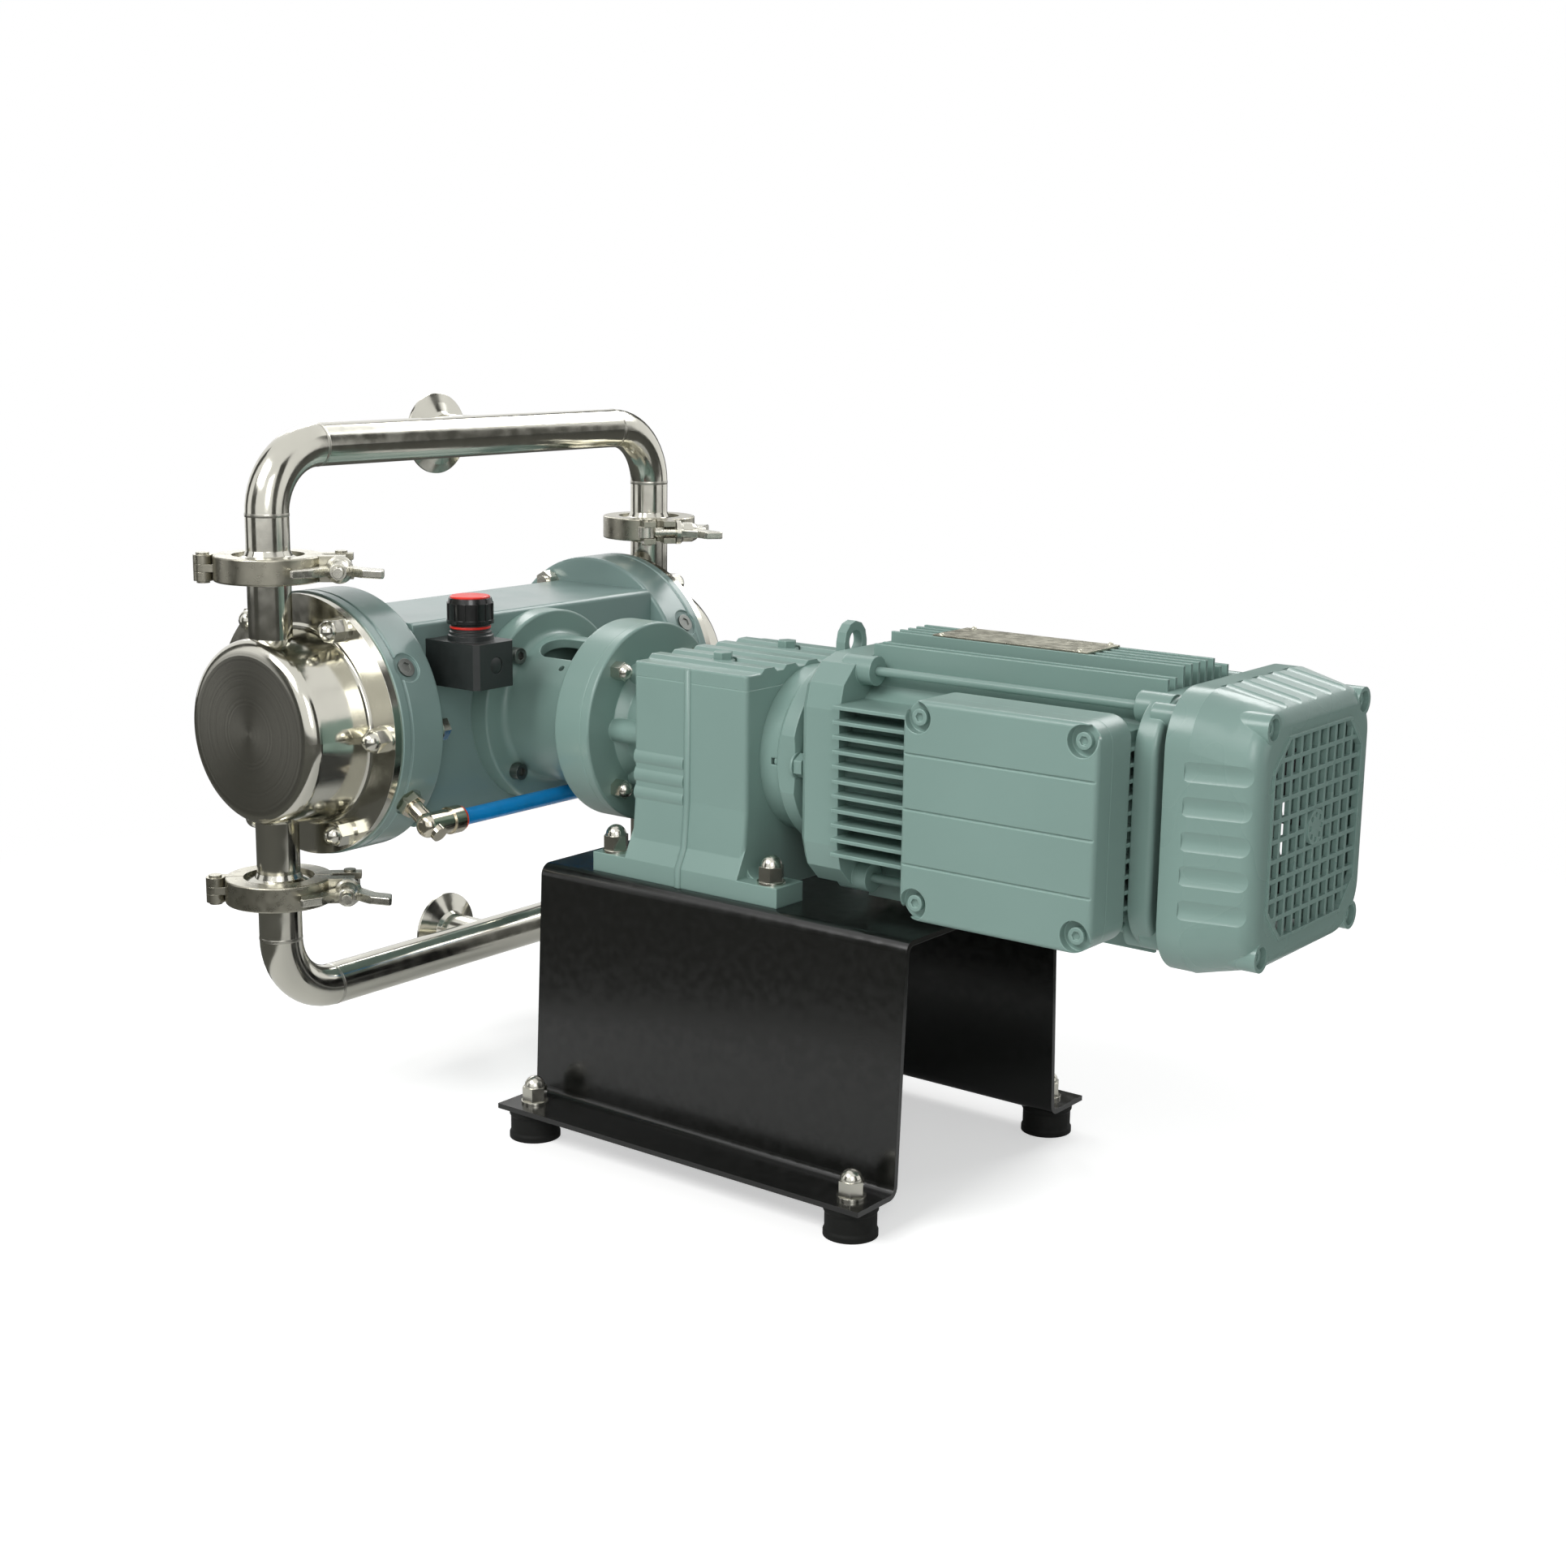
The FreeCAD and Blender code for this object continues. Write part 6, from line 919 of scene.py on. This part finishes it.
def pale_floor(colour):
    """Matt white paper. It keeps the soft shadow near the object and turns into plain white further out, also
    in reflections."""
    material, tree = new_material("matt_white_paper")
    camera = add(tree, "LightPath").outputs["Is Camera Ray"]
    paper = add(tree, "BsdfDiffuse", {"Color": rgba(colour)}).outputs[0]
    lift = add(tree, "Math", {0: camera, 1: PAPER_LIFT}, operation="MULTIPLY").outputs[0]
    glow = add(tree, "Emission", {"Color": WHITE, "Strength": lift}).outputs[0]
    near = add(tree, "AddShader", {0: paper, 1: glow}).outputs[0]
    far = add(tree, "Emission", {"Color": WHITE, "Strength": 1.0}).outputs[0]
    place = add(tree, "TexCoord").outputs["Object"]
    reach = add(tree, "VectorMath", {0: place}, operation="LENGTH").outputs["Value"]
    fade = {"Value": reach, "From Min": PAPER_FADE[0], "From Max": PAPER_FADE[1]}
    outside = add(tree, "MapRange", fade, interpolation_type="SMOOTHSTEP").outputs[0]
    shown = add(tree, "Math", {0: outside, 1: seen_ray(tree)}, operation="MULTIPLY").outputs[0]
    return finish_material(material, add(tree, "MixShader", {0: shown, 1: near, 2: far}))


def black_felt(colour):
    """Felt of the flags that give the polished metal its dark bands."""
    material, tree = new_material("black_felt_flag")
    return finish_material(material, add(tree, "BsdfDiffuse", {"Color": rgba(colour)}))


class PUMP_OT_stage(bpy.types.Operator):
    """Sets the pale floor, the white room, the lamps, the flags and the camera"""

    bl_idname = "pump.stage"
    bl_label = "Set stage"

    def execute(self, context):
        settings = context.scene.pump_stage
        middle = (cad_box[0] + cad_box[1]) / 2
        flat_card("floor", (0.0, 0.0, 0.0), (0.0, 0.0, 1.0), FLOOR_SIZE, pale_floor(settings.paper))
        self.room(context.scene, settings.sky)
        for name, power, place, size in LAMPS:
            softbox(name, place, middle, size, getattr(settings, power))
        self.flags(middle, black_felt(settings.felt))
        self.camera(context.scene, settings)
        context.scene.view_settings.view_transform = "Standard"
        return {"FINISHED"}

    def flags(self, middle, felt):
        """Black flags round the object and a black table ring on the paper, which only reflections show."""
        cards = [ring_card("table_ring", *TABLE_RING, felt)]
        for name, azimuth, wide in FLAGS:
            turn = math.radians(azimuth)
            away = Vector((math.cos(turn), math.sin(turn), 0.0)) * FLAG_DISTANCE
            place = middle + away
            place.z = FLAG_HEIGHT / 2
            cards.append(flat_card(name, place, place - away, (wide, FLAG_HEIGHT), felt))
        for made in cards:
            made.visible_camera = False
            made.visible_diffuse = False
            made.visible_shadow = False

    def room(self, scene, strength):
        """A white room to look at, and a quieter one as a light."""
        scene.world = bpy.data.worlds.new("white_room")
        scene.world.use_nodes = True
        tree = scene.world.node_tree
        tree.nodes.clear()
        quiet = add(tree, "Background", {"Color": ROOM_TINT, "Strength": strength}).outputs[0]
        white = add(tree, "Background", {"Color": WHITE, "Strength": 1.0}).outputs[0]
        mixed = add(tree, "MixShader", {0: seen_ray(tree), 1: quiet, 2: white}).outputs[0]
        add(tree, "OutputWorld", {"Surface": mixed})

    def camera(self, scene, settings):
        """The camera at the photograph's viewing angle, worked out for an image of 1930 by 1932 pixels."""
        turn, pitch, roll = settings.azimuth, settings.pitch, settings.roll
        ahead = Vector((
            -math.sin(turn) * math.cos(pitch),
            math.cos(turn) * math.cos(pitch),
            -math.sin(pitch),
        ))
        level = Vector((math.cos(turn), math.sin(turn), 0.0))
        upright = level.cross(ahead)
        right = level * math.cos(roll) + upright * math.sin(roll)
        up = upright * math.cos(roll) - level * math.sin(roll)
        turned = Matrix((right, up, -ahead)).transposed()
        lens = bpy.data.cameras.new("photo_camera")
        lens.lens = settings.lens
        lens.sensor_fit = "HORIZONTAL"
        lens.clip_end = 40.0
        camera = bpy.data.objects.new("photo_camera", lens)
        camera.matrix_world = Matrix.Translation(settings.camera_place) @ turned.to_4x4()
        scene.collection.objects.link(camera)
        scene.camera = camera


class PUMP_PT_finishes(bpy.types.Panel):
    """Lists the pump's operators in the order in which they run, with what a user can change"""

    bl_idname = "PUMP_PT_finishes"
    bl_label = "Diaphragm Pump"
    bl_space_type = "VIEW_3D"
    bl_region_type = "UI"
    bl_category = "Pump"

    def draw(self, context):
        scene = context.scene
        for operator in OPERATORS:
            self.layout.operator(operator.bl_idname)
        for group in (scene.pump_colours, scene.pump_sizes, scene.pump_stage):
            box = self.layout.box()
            for name in group.__annotations__:
                box.prop(group, name)


OPERATORS = (
    PUMP_OT_drive,
    PUMP_OT_pump_insides,
    PUMP_OT_motor_insides,
    PUMP_OT_castings,
    PUMP_OT_body,
    PUMP_OT_wetted_steel,
    PUMP_OT_weld_seams,
    PUMP_OT_clamps,
    PUMP_OT_stand,
    PUMP_OT_regulator,
    PUMP_OT_air_line,
    PUMP_OT_stage,
)
CLASSES = (PumpColours, PumpSizes, StageSettings, *OPERATORS, PUMP_PT_finishes)


def register():
    for made in CLASSES:
        bpy.utils.register_class(made)
    bpy.types.Scene.pump_colours = PointerProperty(type=PumpColours)
    bpy.types.Scene.pump_sizes = PointerProperty(type=PumpSizes)
    bpy.types.Scene.pump_stage = PointerProperty(type=StageSettings)


def unregister():
    del bpy.types.Scene.pump_stage
    del bpy.types.Scene.pump_sizes
    del bpy.types.Scene.pump_colours
    for made in reversed(CLASSES):
        bpy.utils.unregister_class(made)


def main():
    register()
    for operator in OPERATORS:
        group, name = operator.bl_idname.split(".")
        getattr(getattr(bpy.ops, group), name)()


if __name__ == "__main__":
    main()
